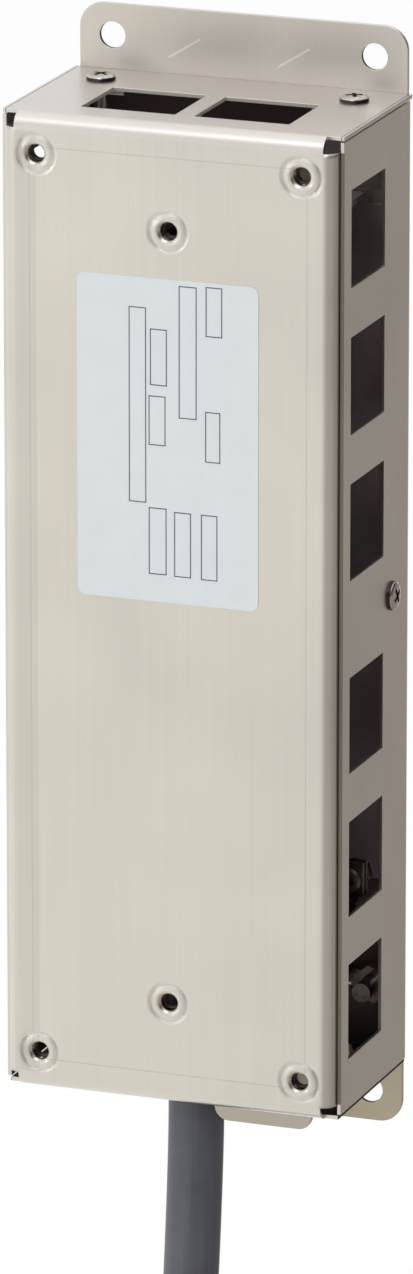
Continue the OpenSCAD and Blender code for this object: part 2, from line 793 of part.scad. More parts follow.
// Frame of a band: upper bands turn their ears to the front, lower bands to the side walls
module at_band(sx, sz) {
    translate([sx * element_x, element_y, sz > 0 ? band_hi_z : band_lo_z])
        rotate(sz > 0 ? 0 : sx * 90) children();
}

// Bands where the windings are linked
module upper_bands() {
    color("lightsteelblue") for (sx = [-1, 1]) {
        at_band(sx, 1) clamp_band();
    }
}

// Bands where the power leads connect
module lower_bands() {
    color("lightsteelblue") for (sx = [-1, 1]) {
        at_band(sx, -1) clamp_band();
    }
}

// Strap between the inner ears of the upper bands
module series_link() {
    inner_x = element_x - ear_face;
    leg_front = element_y - band_out_r - band_ear;
    leg_back = element_y - band_out_r - slide_gap;
    color("peru") difference() {
        translate([0, 0, band_hi_z - link_h / 2]) linear_extrude(link_h) {
            translate([-inner_x, leg_back - link_t]) square([2 * inner_x, link_t]);
            for (sx = [-1, 1]) {
                translate([sx > 0 ? inner_x - link_t : -inner_x, leg_front])
                    square([link_t, leg_back - leg_front]);
            }
        }
        translate([0, element_y - ear_hole_r, band_hi_z]) rotate([0, 90, 0])
            cylinder(d = screw_d + pass_gap, h = 2 * element_x, center = true, $fn = 48);
    }
}

// Screws and nuts that close the bands' ears
module band_screws() {
    nut_h = screw_d * 0.8;
    color("lightgray") for (sx = [-1, 1]) {
        for (sz = [-1, 1]) {
            at_band(sx, sz) translate([0, -ear_hole_r, 0]) rotate([0, -sx * 90, 0]) {
                translate([0, 0, ear_face + link_t])
                    pan_screw(screw_d, screw_head_d * 0.9, screw_head_h, band_screw_len);
                translate([0, 0, -ear_face - nut_h]) rotate(15)
                    hex_nut(screw_d, screw_d * 1.75, nut_h);
            }
        }
    }
}

// Disc switch on the carrier's back plate: flanged can and insulating cap
module thermal_switch() {
    cap_h = switch_h * 0.45;
    color("burlywood") translate([0, carrier_face, switch_z]) rotate([90, 0, 0]) {
        cylinder(d = switch_d, h = switch_h - cap_h, $fn = 64);
        cylinder(d = switch_d - 2, h = switch_h, $fn = 64);
    }
}

// The switch's two tabs, folded down
module switch_tabs() {
    color("goldenrod") for (sx = [-1, 1]) {
        translate([(sx * switch_tab_pitch - switch_tab_w) / 2, switch_tab_y - switch_tab_t / 2, switch_end_z])
            cube([switch_tab_w, switch_tab_t, switch_tab_len + 2]);
    }
}

// Ring terminal: flat ring on the seat at z = 0 and a barrel towards -X that starts at neck
module ring_lug(hole_d, neck, barrel_offset) {
    difference() {
        union() {
            cylinder(d = lug_w, h = link_t, $fn = 48);
            translate([-neck - link_t, -barrel_d / 2, 0]) cube([neck + link_t, barrel_d, link_t]);
        }
        translate([0, 0, -bore_over]) cylinder(d = hole_d, h = link_t + 2 * bore_over, $fn = 48);
    }
    translate([-neck, 0, barrel_offset]) rotate([0, -90, 0])
        cylinder(d = barrel_d, h = barrel_len, $fn = 32);
}

// Ring terminals of the power leads, on the front of the lower bands' ears, barrels down
module power_lugs() {
    color("silver") for (sx = [-1, 1]) {
        at_band(sx, -1) translate([-sx * ear_face, -ear_hole_r, 0]) rotate([0, -sx * 90, 0])
            rotate(sx > 0 ? 0 : 180) ring_lug(screw_d + close_gap, power_neck, barrel_d / 2);
    }
}

// End of a power lug's barrel in the part's frame
function lug_end(sx) = [
    sx * (element_x + ear_hole_r), element_y - ear_face - barrel_d / 2,
    band_lo_z - power_neck - barrel_len
];

// A power lead from the jacket's end, under the shelf and up to its lug
module power_lead(sx) {
    end = lug_end(sx);
    low = carrier_lo - lead_d - 1.6;
    nut_front = element_y - rod_d - lead_d;
    points = [
        [cable_x + sx * core_ring, cable_y + 0.5, jacket_top],
        [cable_x + sx * core_ring, cable_y + 0.5, jacket_top + core_start],
        [sx * (element_x - 6.5), nut_front - 0.5, low], [sx * (element_x + 2.5), nut_front - 0.5, low],
        [end[0] - sx * 4.3, end[1] - 1.5, low],
        [end[0], end[1], end[2] - 2.5], end
    ];
    swept(points, lead_steps, lead_d / 2, lead_sides);
}

module lead_power_a() {
    color("saddlebrown") power_lead(-1);
}

module lead_power_b() {
    color("royalblue") power_lead(1);
}

// A switch lead: up through the shelf's slot, back between the bands and up to its tab
module switch_lead(sx) {
    gap_x = switch_lead_d / 2 + 0.5;
    behind = carrier_face - winding_back - switch_lead_d / 2;
    points = [
        [cable_x + sx * 1.3, cable_y - 4, jacket_top],
        [cable_x + sx * 1.3, cable_y - 4, jacket_top + core_start],
        [sx * gap_x, cable_y - 2.5, jacket_top + 8],
        [sx * gap_x, cable_y + 1, carrier_lo + 2], [sx * gap_x, element_y + 4, band_lo_z],
        [sx * gap_x, behind - 2, band_lo_z + band_h + 2],
        [sx * (gap_x + 0.6), behind, (2 * band_lo_z + switch_end_z) / 3],
        [sx * switch_tab_pitch / 2, switch_tab_y, switch_end_z - 12],
        [sx * switch_tab_pitch / 2, switch_tab_y, switch_end_z]
    ];
    swept(points, lead_steps, switch_lead_d / 2, lead_sides);
}

module lead_switch_a() {
    color("black") switch_lead(-1);
}

module lead_switch_b() {
    color("whitesmoke") switch_lead(1);
}

// Earth lead from the jacket's end to the stud's lug
module lead_earth() {
    end_x = earth_x - earth_neck - barrel_len;
    points = [
        [cable_x, cable_y + 3.6, jacket_top], [cable_x, cable_y + 3.6, jacket_top + 2.5],
        [cable_x + 5, cable_y + 10, jacket_top + 4.5], [end_x - 4, earth_barrel_y - 2, earth_z + 3],
        [end_x - 1.5, earth_barrel_y, earth_z], [end_x, earth_barrel_y, earth_z]
    ];
    color("yellowgreen") swept(points, lead_steps, lead_d / 2, lead_sides);
}

// Ring terminal on the earth stud, flat on the back wall
module earth_lug() {
    color("silver") translate([earth_x, back_in, earth_z]) rotate([90, 0, 0])
        ring_lug(earth_d + close_gap, earth_neck, back_in - earth_barrel_y);
}

// Stud welded to the back wall
module earth_stud() {
    color("darkkhaki") translate([earth_x, back_in, earth_z]) rotate([90, 0, 0])
        cylinder(d = earth_d, h = earth_len, $fn = 48);
}

// Nut on the earth stud
module earth_nut() {
    color("lightgray") translate([earth_x, back_in - link_t, earth_z]) rotate([90, 20, 0])
        hex_nut(earth_d, earth_nut_across, earth_d * 0.8);
}

// Strain relief bracket welded to the back wall, with a lip behind the cable
module cable_bracket() {
    fold_r = bracket_bend_r;
    color("darkgray") difference() {
        translate([cable_x, 0, 0]) along_x(bracket_w) {
            translate([back_in - sheet_t, shelf_z - sheet_t + fold_r])
                square([sheet_t, bracket_foot - fold_r]);
            translate([back_in - fold_r, shelf_z - sheet_t + fold_r]) fold_2d(fold_r, sheet_t, 1, -1);
            translate([lip_face + fold_r, shelf_z - sheet_t])
                square([back_in - lip_face - 2 * fold_r, sheet_t]);
            translate([lip_face + fold_r, shelf_z - fold_r]) fold_2d(fold_r, sheet_t, -1, 1);
            translate([lip_face, shelf_z - bracket_lip]) square([sheet_t, bracket_lip - fold_r]);
        }
        saddle_screw_bores(screw_d + close_gap);
    }
}

// Bores for the saddle's screws
module saddle_screw_bores(d) {
    for (sx = [-1, 1]) {
        translate([cable_x + sx * saddle_screw_x, lip_face, saddle_z]) rotate([90, 0, 0])
            cylinder(d = d, h = 8 * sheet_t, center = true, $fn = 48);
    }
}

// Saddle strap over the cable, with two feet on the bracket's lip
module cable_saddle() {
    foot_back = lip_face;
    color("silver") difference() {
        translate([cable_x, 0, saddle_z - saddle_h / 2]) linear_extrude(saddle_h) {
            intersection() {
                translate([0, cable_y]) difference() {
                    circle(r = saddle_r + sheet_t, $fn = 64);
                    circle(r = saddle_r, $fn = 64);
                }
                translate([-2 * saddle_r, cable_y - 2 * saddle_r]) square([4 * saddle_r, 2 * saddle_r]);
            }
            for (sx = [-1, 1]) {
                translate([sx > 0 ? saddle_r : -saddle_r - sheet_t, cable_y])
                    square([sheet_t, foot_back - cable_y]);
                translate([sx > 0 ? saddle_r : -saddle_r - sheet_t - saddle_foot, foot_back - sheet_t])
                    square([saddle_foot + sheet_t, sheet_t]);
            }
        }
        saddle_screw_bores(screw_d + pass_gap);
    }
}

// Screws of the saddle
module saddle_screws() {
    color("lightgray") for (sx = [-1, 1]) {
        translate([cable_x + sx * saddle_screw_x, lip_face - sheet_t, saddle_z]) rotate([90, 0, 0])
            pan_screw(screw_d, screw_head_d * 0.9, screw_head_h, screw_len);
    }
}

// Rubber grommet in the bottom flange's slot
module cable_grommet() {
    bore_r = cable_r + slide_gap;
    rim_r = grommet_d / 2;
    groove_r = (groove_d - close_gap) / 2;
    low = -half_h - close_gap / 2;
    high = -in_z + close_gap / 2;
    soft = grommet_t * 0.45;
    color("black") translate([cable_x, cable_y, 0]) rotate_extrude($fn = 64) {
        polygon([
            [bore_r, low - grommet_t], [rim_r - soft, low - grommet_t], [rim_r, low - grommet_t + soft],
            [rim_r, low], [groove_r, low], [groove_r, high], [rim_r, high],
            [rim_r, high + grommet_t - soft], [rim_r - soft, high + grommet_t],
            [bore_r, high + grommet_t]
        ]);
    }
}

// Jacketed cable, from inside the case to its folded free end
module supply_cable() {
    color("slategray") swept(cable_axis, cable_steps, cable_r, cable_sides);
}

// Tie round the two runs of the folded cable
module cable_tie() {
    in_r = cable_r + slide_gap;
    out_r = in_r + tie_t;
    color("black") {
        translate([0, cable_y, tie_z - tie_w / 2]) linear_extrude(tie_w) difference() {
            union() {
                translate([-tie_x, -out_r]) square([2 * tie_x, 2 * out_r]);
                for (sx = [-1, 1]) {
                    translate([sx * tie_x, 0]) circle(r = out_r, $fn = 48);
                }
            }
            translate([-tie_x, -in_r]) square([2 * tie_x, 2 * in_r]);
            for (sx = [-1, 1]) {
                translate([sx * tie_x, 0]) circle(r = in_r, $fn = 48);
            }
        }
        translate([-tie_head_w / 2, cable_y - out_r - tie_head_d, tie_z - tie_w / 2 - 1])
            cube([tie_head_w, tie_head_d + tie_t, tie_w + 2]);
    }
}

// Offset of a free core from the cable's axis at the jacket's end, and at its tip
function core_root(i) = i == 0 ? [0, 0] : core_ring * [cos(90 * i + 20), sin(90 * i + 20)];
function core_tip(i) = [core_lean, 0] + core_root(i) * core_splay;
function core_top(i) = jacket_end + free_len - 2 * (i % 3);

// Stripped end of one conductor
module free_core(i) {
    a = core_root(i);
    b = core_tip(i);
    top = core_top(i);
    points = [
        [tie_x + a[0], cable_y + a[1], jacket_end],
        [tie_x + a[0], cable_y + a[1], jacket_end + free_len * 0.22],
        [tie_x + b[0], cable_y + b[1], top - free_len * 0.3],
        [tie_x + b[0], cable_y + b[1], top]
    ];
    swept(points, lead_steps + 1, lead_d / 2, lead_sides);
}

module free_core_a() {
    color("saddlebrown") free_core(0);
}

module free_core_b() {
    color("royalblue") free_core(1);
}

module free_core_c() {
    color("yellowgreen") free_core(2);
}

module free_core_d() {
    color("black") free_core(3);
}

module free_core_e() {
    color("whitesmoke") free_core(4);
}

// Ferrules on the conductors' tips: collar and tin sleeve
module core_ferrules() {
    collar_r = lead_d / 2 + 0.4;
    pin_r = lead_d * 0.36;
    color("silver") for (i = [0:4]) {
        b = core_tip(i);
        translate([tie_x + b[0], cable_y + b[1], core_top(i)]) rotate_extrude($fn = 32) {
            polygon([
                [0, 0], [collar_r, 0], [collar_r * 0.92, ferrule_len * 0.32],
                [pin_r, ferrule_len * 0.42], [pin_r, ferrule_len], [0, ferrule_len]
            ]);
        }
    }
}

back_tray();
front_cover();
rating_label();
top_cover_screws();
bottom_cover_screws();
side_carrier_screws();
element_carrier();
ceramic_tube(-1);  // ceramic_tube_left
ceramic_tube(1);  // ceramic_tube_right
winding(-1);  // winding_left
winding(1);  // winding_right
end_bushes();
tie_rod(-1);  // tie_rod_left
tie_rod(1);  // tie_rod_right
rod_nuts();
upper_bands();
lower_bands();
series_link();
band_screws();
thermal_switch();
switch_tabs();
power_lugs();
lead_power_a();
lead_power_b();
lead_switch_a();
lead_switch_b();
lead_earth();
earth_lug();
earth_stud();
earth_nut();
cable_bracket();
cable_saddle();
saddle_screws();
cable_grommet();
supply_cable();
cable_tie();
free_core_a();
free_core_b();
free_core_c();
free_core_d();
free_core_e();
core_ferrules();
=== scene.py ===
"""Looks of a wall-mounted braking resistor: bright sheet case, label, windings, wiring and flying lead."""

import math

import bmesh
import bpy
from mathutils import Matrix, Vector


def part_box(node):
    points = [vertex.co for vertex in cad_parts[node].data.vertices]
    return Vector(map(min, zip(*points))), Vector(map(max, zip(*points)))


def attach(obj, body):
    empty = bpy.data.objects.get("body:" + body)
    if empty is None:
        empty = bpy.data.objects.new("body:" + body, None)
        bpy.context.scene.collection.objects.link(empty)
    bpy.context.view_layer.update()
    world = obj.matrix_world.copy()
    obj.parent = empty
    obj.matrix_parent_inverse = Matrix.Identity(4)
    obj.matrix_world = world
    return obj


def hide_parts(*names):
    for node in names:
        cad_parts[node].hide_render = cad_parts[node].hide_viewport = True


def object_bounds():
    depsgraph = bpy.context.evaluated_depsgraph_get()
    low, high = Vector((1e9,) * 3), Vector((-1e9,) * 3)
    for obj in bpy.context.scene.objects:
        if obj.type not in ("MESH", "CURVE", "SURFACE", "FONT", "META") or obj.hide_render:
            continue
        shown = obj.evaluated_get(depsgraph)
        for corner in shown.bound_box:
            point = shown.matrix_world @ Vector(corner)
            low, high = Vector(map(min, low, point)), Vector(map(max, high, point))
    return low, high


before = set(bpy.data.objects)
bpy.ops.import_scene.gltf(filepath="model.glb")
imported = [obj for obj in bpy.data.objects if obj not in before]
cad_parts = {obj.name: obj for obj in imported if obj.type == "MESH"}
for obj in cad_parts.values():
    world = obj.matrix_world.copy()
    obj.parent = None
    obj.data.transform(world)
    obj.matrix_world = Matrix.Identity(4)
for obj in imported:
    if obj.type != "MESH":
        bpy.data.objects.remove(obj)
CAD_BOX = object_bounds()

bl_info = {
    "name": "Braking resistor looks",
    "version": (1, 0, 0),
    "blender": (4, 5, 0),
    "location": "3D View > Sidebar > Resistor",
    "description": "Finishes, flying lead, windings and stage for a wall-mounted braking resistor",
    "category": "Object",
}

MM = 0.001

# Sockets of the Mix node by number, because their names repeat for each kind of value.
FACTOR, NUMBER_A, NUMBER_B, COLOUR_A, COLOUR_B = 0, 2, 3, 6, 7
NUMBER_OUT, COLOUR_OUT = 0, 2

# The camera: its turn to the right, its tilt, lens and sensor in millimetres, and the point that it looks at,
# in millimetres.
CAMERA_YAW = math.radians(20.633)
CAMERA_PITCH = math.radians(16.186)
CAMERA_LENS = 292.064
CAMERA_SENSOR = 36
CAMERA_AIM = (0.038, -21.75, -9.07)

# The surroundings, as linear levels: pale at the horizon, brighter overhead, and dark on the right.
SKY_PALE = (0.88, 0.87, 0.86, 1.0)
SKY_BRIGHT = (1.15, 1.15, 1.15, 1.0)
SKY_DARK = (0.09, 0.085, 0.08, 1.0)
# Between which parts of a direction the dark begins to the right, ends upwards, and the bright begins.
SKY_RIGHT = (-0.05, 0.45)
SKY_LOW = (0.9, 0.5)
SKY_RISE = (0.3, 1.0)

# The floor: how far it lies under the lead and half its width, in metres.
FLOOR_DROP = 0.012
FLOOR_HALF = 9.0
# Between which bearings, in radians from straight ahead round to the right, it turns grey, then darker, and
# close to straight behind white again. The grey is painted shade, a fall of the light round to the right that
# the bright sheet mirrors.
FLOOR_GREYS = (-0.38, 0.25)
FLOOR_DARKENS = (0.9, 1.8)
FLOOR_WHITENS = (math.pi, 2.95)
# Between which depths in metres its white turns warm, and how much of it is even light where it is seen.
FLOOR_WARMS = (0.3, -0.4)
FLOOR_GLOW = 0.85

# Lamps: name, place and size in metres, watts, whether bright metal mirrors it, and whether it lights dull
# pieces.
LAMPS = [
    ("left_softbox", (-1.55, -1.25, 0.1), 0.6, 4.3, False, True),
    ("top_softbox", (0.05, -1.25, 1.6), 1.2, 8.5, True, True),
    ("right_fill", (1.5, -0.9, 0.3), 0.8, 6.5, False, True),
    ("left_glint", (-1.23, -1.58, 0.05), 0.25, 1.5, True, False),
]

# Middle line of the flying lead in X and Z, in millimetres, as the part has it: out of the grommet,
# down, and folded back up to the tie, all at one depth.
LEAD_DEPTH = -25.0
LEAD_ROUTE = [
    (-0.9, -78), (-0.9, -90), (-0.9, -102), (-1, -114), (-1.5, -130), (-2.3, -148), (-3.6, -168),
    (-5, -190), (-5.9, -210), (-6, -222), (-6, -230), (-7.5, -243), (-12.5, -257), (-20.5, -268),
    (-31, -280), (-39.5, -293.5), (-42, -308), (-39.5, -322.5), (-32, -335), (-18, -346), (0, -350),
    (18, -346), (32, -335), (39.5, -322.5), (42, -308), (39.5, -293.5), (31, -280), (20.5, -268),
    (12.5, -257), (7.5, -243), (6, -230), (6, -222), (6, -207),
]
# Steps between two points of the route, and sides of the tube.
LEAD_STEPS = 8
LEAD_SIDES = 48

# The jacket's drawn lines, 60 round the lead and about 40 mm long, which is as coarse as they need to show,
# and its clouds in millimetres. Then the noise that its tone spans, its roughness, and its bump in
# millimetres.
JACKET_LINES = (60, 25, 1)
JACKET_CLOUD = 9
JACKET_DRIFT = (0.7, 1.3)
JACKET_ROUGH = (0.38, 0.5)
JACKET_BUMP = 0.1

# Distance between the earth core's stripes in millimetres. The Wave node counts 20 radians to a unit. The
# stripe's edge lies between two heights of the wave.
STRIPE_APART = 12.5664
WAVE_RADIANS = 20
STRIPE_EDGE = (0.45, 0.55)

# Empty outlined fields of the label: lowest x, highest x, lowest z, highest z, and how far their ink stands
# proud, in millimetres.
LABEL_FIELDS = [
    (-8.2, -4.5, 24.2, 64.3), (-4.0, -0.2, 9.6, 23.4), (-4.0, -0.4, 36.2, 46.4), (-3.7, -0.1, 48.5, 60.1),
    (1.4, 5.0, 9.5, 22.9), (2.4, 6.2, 42.2, 69.3), (7.1, 10.6, 9.4, 22.9), (8.0, 11.2, 33.7, 44.1),
    (8.1, 11.6, 59.4, 69.6),
]
INK_PROUD = 0.012

# Middles of the drawn threaded holes in X and Z, where their threads begin, how deep they go and their
# radius, in millimetres, and the radius of a turn's crest as a share of the pitch.
THREAD_PLACES = [(x, z) for x in (-28, 28) for z in (-93.5, 93.5)] + [(0, -80), (0, 80)]
THREAD_START = -42.0
THREAD_DEPTH = 2.0
THREAD_RADIUS = 1.63
CREST_SHARE = 0.22

# Windings, in millimetres: outside radius of the bed, its gap to the tube, and how deep the wire sits in it.
# Then the share of the pitch that the wire takes.
BED_RADIUS = 12.4
BED_GAP = 0.05
WIRE_SINK = 0.1
WIRE_SHARE = 0.6

# The case sheet, in millimetres. Its rolling lines are finer than a pixel, so they are drawn 0.9 mm wide to
# show, and drawn out along Z. Then its clouds, the lines' share, the noise that its tone spans, and its
# roughness.
LINE_WIDTH = 0.9
LINE_SQUEEZE = (1, 1, 0.012)
SHEET_CLOUD = 40
LINE_SHARE = 0.35
SHEET_DRIFT = (0.45, 0.9)
SHEET_ROUGH = (0.33, 0.27)
# How far its edges are rounded for the eye in millimetres: all of them, those of the pressed rings round the
# front holes, and what the cover's two long front bends add. The bends' box is in distances from the middle.
EDGE_SOFT = 0.25
RING_SOFT = 1.7
BEND_SOFT = 1.2
LONG_BENDS = ((30.8, 41.5, 0), (35.3, 43.6, 98.5))
# Distances at which a front hole's mouth and ring end and are whole, in millimetres, from its middle on the
# cover's face, with depth counted by a share only. Then the mouth's tint, a slight painted shade in the
# funnel, and its roughness.
MOUTH_FADE = (2.5, 2.0)
RING_FADE = (4.9, 4.2)
FRONT_FACE = 43.5
DEPTH_SHARE = 0.3
MOUTH_PAINTED_SHADE = "f0ece8"
MOUTH_ROUGH = 0.2

# Places that look different on a finish, many of them painted light and shade: which side of the middle they
# are on ("both" counts distances from it), lowest and highest corner in millimetres, tint and roughness.
SHEET_MARKS_AND_PAINTED_LIGHT = [
    # Inside faces, darkened as painted shade inside the closed case.
    ("both", (0, 0.83, 0), (35.23, 40.4, 95.5), "a89c94", 0.5),
    # Cut edges of the top windows.
    ("one", (-34, -34.5, 100.75), (34, -15.5, 101.42), "ffffff", 0.9),
    # Back wall under the top windows: a paler band as painted light from the windows, then a dark band just
    # under the top as painted shade.
    ("one", (-35, -0.85, 81.3), (35, -0.7, 93.2), "d6cdd0", 0.9),
    ("one", (-33, -0.85, 93.2), (33, -0.7, 100.6), "6a5c60", 0.6),
    # Inside faces round the lead, darkened as painted shade.
    ("one", (-35.23, -40.4, -100.73), (35.23, -0.7, -62), "8f8480", 0.6),
    # Bores of the front holes, darkened as painted shade.
    ("both", (0, 39.8, 0), (31.5, 42.1, 97.5), "4a4043", 0.5),
    # Front cut edge of the right wall: a dull sheared edge, darkened further as painted shade behind the
    # cover's bend.
    ("one", (35.15, -40.7, -98.3), (36.1, -40.5, 98.3), "a3a098", 0.5),
    # Cut sides of the top and bottom flanges: dull sheared edges, made dark as painted shade of the gap by
    # the walls.
    ("both", (35.3, 0.5, 100.75), (35.45, 41, 101.6), "453f3c", 0.6),
    # Walls of the wall holes, darkened as painted shade.
    ("both", (25, 0.05, 105.5), (31, 0.75, 111.5), "57504c", 0.5),
    # Faint darker lines on the front, in a rectangle just outside the corner holes.
    ("both", (29.2, 43.4, 0), (29.45, 43.6, 95), "f0f0f0", 0.36),
    ("both", (0, 43.4, 94.85), (29.45, 43.6, 95.1), "f0f0f0", 0.36),
    # Strip along the front's left bend, a little darker: painted reflection of a darker floor on the left.
    ("one", (-34.2, -43.6, -98), (-27.9, -43.4, 98), "f5f5f5", 0.3),
    # Tongue beside the lead, darker: painted shade under the case.
    ("one", (6, -36, -107.5), (28, -33, -101.6), "d8d4cf", 0.34),
    # Upper tab, a touch darker and duller; lower tab darker, painted reflection of the shaded floor under
    # the case.
    ("one", (-36, -0.9, 101.6), (36, -0.7, 116), "f7f5f3", 0.37),
    ("one", (-36, -0.9, -116), (36, -0.7, -101.6), "d2cbbb", 0.36),
]
# On the lead: its end inside the case, darkened as painted shade.
LEAD_PAINTED_SHADE = [("one", (-20, -45, -100), (20, 0, -60), "7a7470", 0.7)]
# On the screws: the dark flanks of the heads, painted reflection of dark surroundings.
SCREW_PAINTED_REFLECTIONS = [
    ("both", (20, 5, 101.45), (34, 15, 102.1), "6a5a60", 0.25),
    ("both", (35.95, 8, 0), (36.6, 15.5, 4.5), "6a5a60", 0.25),
]
# Painted reflections of the top windows' bright cut edges on the upper tab, drawn as pale leaning strokes:
# their middles in X and Z, the tab's front and their half size in millimetres, how far they lean, and how
# much of their white shows.
PAINTED_REFLECTION_PLACES = [(-12.6, 106.9), (10.8, 106.8)]
TAB_FRONT = -0.8
PAINTED_REFLECTION_HALF = (4.0, 0.3, 0.22)
PAINTED_REFLECTION_LEAN = math.radians(32)
PAINTED_REFLECTION_SHARE = 0.5

# The part of a noise that a finish's drift spans, and shader values that several finishes share.
NOISE_DRIFT = (0.3, 0.7)
METAL = {"Metallic": 1.0}
PVC = {"IOR": 1.54}


class ResistorSizes(bpy.types.PropertyGroup):
    """Sizes that the looks add to the part."""

    lead_diameter: bpy.props.FloatProperty(
        name="Lead diameter", description="Outside diameter of the flying lead's jacket",
        default=11.4 * MM, min=0.005, max=0.0118, unit="LENGTH")
    field_line: bpy.props.FloatProperty(
        name="Field line", description="Width of the printed lines round the label's empty fields",
        default=0.22 * MM, min=0.0001, max=0.001, unit="LENGTH")
    thread_pitch: bpy.props.FloatProperty(
        name="Thread pitch", description="Pitch of the threads in the front holes",
        default=0.7 * MM, min=0.0003, max=0.001, unit="LENGTH")
    wire_turns: bpy.props.IntProperty(
        name="Winding turns", description="Turns of flat wire on each tube", default=20, min=4, max=60)
    camera_distance: bpy.props.FloatProperty(
        name="Camera distance", description="Distance of the camera from the middle of the case",
        default=2.083, min=0.5, max=5, unit="LENGTH")


class ResistorColours(bpy.types.PropertyGroup):
    """Colours of the main finishes, as sRGB hex values."""

    sheet: bpy.props.StringProperty(
        name="Sheet", description="Bright rolled stainless sheet of the case", default="e0dcd7")
    label: bpy.props.StringProperty(
        name="Label", description="White film of the label", default="d8dfe4")
    ink: bpy.props.StringProperty(
        name="Ink", description="Printed lines of the label", default="585468")
    jacket: bpy.props.StringProperty(
        name="Jacket", description="Grey jacket of the flying lead", default="555862")
    cement: bpy.props.StringProperty(
        name="Cement", description="Dark cement over the windings", default="6b615d")


def linear(hex_colour):
    """Turns an sRGB hex value into Blender's linear colour."""
    parts = [int(hex_colour[i:i + 2], 16) / 255 for i in (0, 2, 4)]
    return tuple(c / 12.92 if c <= 0.04045 else ((c + 0.055) / 1.055) ** 2.4 for c in parts) + (1.0,)


def span(side, ends):
    """The two ends of a range, as the Map Range node names them."""
    return {side + " Min": ends[0], side + " Max": ends[1]}


def put(tree, kind, inputs=(), **settings):
    """Adds one node: settings are its own values, inputs maps a socket to a value or a linked output."""
    node = tree.nodes.new(kind)
    for key, value in settings.items():
        setattr(node, key, value)
    for key, value in dict(inputs).items():
        if isinstance(value, bpy.types.NodeSocket):
            tree.links.new(value, node.inputs[key])
        else:
            node.inputs[key].default_value = value
    return node


def start_material(name, values=()):
    """A new material with its shader's plain values set, its node tree, its shader and Object coordinates."""
    material = bpy.data.materials.new(name)
    material.use_nodes = True
    tree = material.node_tree
    shader = tree.nodes["Principled BSDF"]
    for key, value in dict(values).items():
        shader.inputs[key].default_value = value
    return material, tree, shader, put(tree, "ShaderNodeTexCoord").outputs["Object"]


def connect(tree, shader, tone, rough, normal=None):
    """Links a finish's colour, roughness and, where it has one, normal to the shader."""
    for socket, output in (("Base Color", tone), ("Roughness", rough), ("Normal", normal)):
        if output is not None:
            tree.links.new(output, shader.inputs[socket])


def speckled(name, pair, grain, rough_ends, bump=0.0, detail=3.0, marks=(), values=()):
    """A finish whose colour and roughness drift between two values with a noise of the given grain, raised by
    the bump, both in millimetres, and tinted at its marks."""
    material, tree, shader, place = start_material(name, values)
    noise = put(tree, "ShaderNodeTexNoise", {
        "Vector": place, "Scale": 1 / (grain * MM), "Detail": detail, "Roughness": 0.55}).outputs["Fac"]
    share = put(tree, "ShaderNodeMapRange", {"Value": noise, **span("From", NOISE_DRIFT)}).outputs["Result"]
    tone = put(tree, "ShaderNodeMix", {
        FACTOR: share, COLOUR_A: linear(pair[0]), COLOUR_B: linear(pair[1])},
        data_type="RGBA").outputs[COLOUR_OUT]
    rough = put(tree, "ShaderNodeMapRange", {
        "Value": noise, **span("From", NOISE_DRIFT), **span("To", rough_ends)}).outputs["Result"]
    if marks:
        tone, rough = marked(tree, place, tone, rough, marks)
    normal = None
    if bump:
        normal = put(tree, "ShaderNodeBump", {
            "Height": noise, "Strength": 1.0, "Distance": bump * MM}).outputs["Normal"]
    connect(tree, shader, tone, rough, normal)
    return material


def within(tree, place, low, high):
    """One inside the box from low to high, in millimetres, and nought outside it."""
    middle = [(a + b) / 2 * MM for a, b in zip(low, high)]
    half = [(b - a) / 2 * MM for a, b in zip(low, high)]
    off = put(tree, "ShaderNodeVectorMath", {0: place, 1: middle}, operation="SUBTRACT")
    off = put(tree, "ShaderNodeVectorMath", {0: off.outputs[0]}, operation="ABSOLUTE")
    off = put(tree, "ShaderNodeVectorMath", {0: off.outputs[0], 1: half}, operation="DIVIDE")
    axes = put(tree, "ShaderNodeSeparateXYZ", {0: off.outputs[0]}).outputs
    far = put(tree, "ShaderNodeMath", {0: axes[0], 1: axes[1]}, operation="MAXIMUM")
    far = put(tree, "ShaderNodeMath", {0: far.outputs[0], 1: axes[2]}, operation="MAXIMUM")
    return put(tree, "ShaderNodeMath", {0: far.outputs[0], 1: 1.0}, operation="LESS_THAN").outputs[0]


def tinted(tree, mask, tone, rough, tint, dull):
    """The tone times the tint, and the new roughness, where the mask is one."""
    tone = put(tree, "ShaderNodeMix", {FACTOR: mask, COLOUR_A: tone, COLOUR_B: linear(tint)},
               data_type="RGBA", blend_type="MULTIPLY").outputs[COLOUR_OUT]
    rough = put(tree, "ShaderNodeMix", {FACTOR: mask, NUMBER_A: rough, NUMBER_B: dull}).outputs[NUMBER_OUT]
    return tone, rough


def marked(tree, place, tone, rough, marks):
    """The tone and the roughness, tinted and dulled at the given places."""
    mirrored = put(tree, "ShaderNodeVectorMath", {0: place}, operation="ABSOLUTE").outputs[0]
    for where, low, high, tint, dull in marks:
        mask = within(tree, mirrored if where == "both" else place, low, high)
        tone, rough = tinted(tree, mask, tone, rough, tint, dull)
    return tone, rough


def near_holes(tree, mirrored, fade):
    """One round the middles of the front holes, fading to nought between the two distances. Depth counts for
    less than width, so a mouth counts whole and the back wall not at all."""
    flat = put(tree, "ShaderNodeVectorMath", {0: mirrored, 1: (1, DEPTH_SHARE, 1)},
               operation="MULTIPLY").outputs[0]
    share = 0.0
    for x, z in sorted({(abs(x), abs(z)) for x, z in THREAD_PLACES}):
        middle = (x * MM, DEPTH_SHARE * FRONT_FACE * MM, z * MM)
        off = put(tree, "ShaderNodeVectorMath", {0: flat, 1: middle}, operation="DISTANCE").outputs["Value"]
        ring = put(tree, "ShaderNodeMapRange", {
            "Value": off, **span("From", [end * MM for end in fade])},
            interpolation_type="SMOOTHSTEP").outputs["Result"]
        share = put(tree, "ShaderNodeMath", {0: ring, 1: share}, operation="MAXIMUM").outputs[0]
    return share


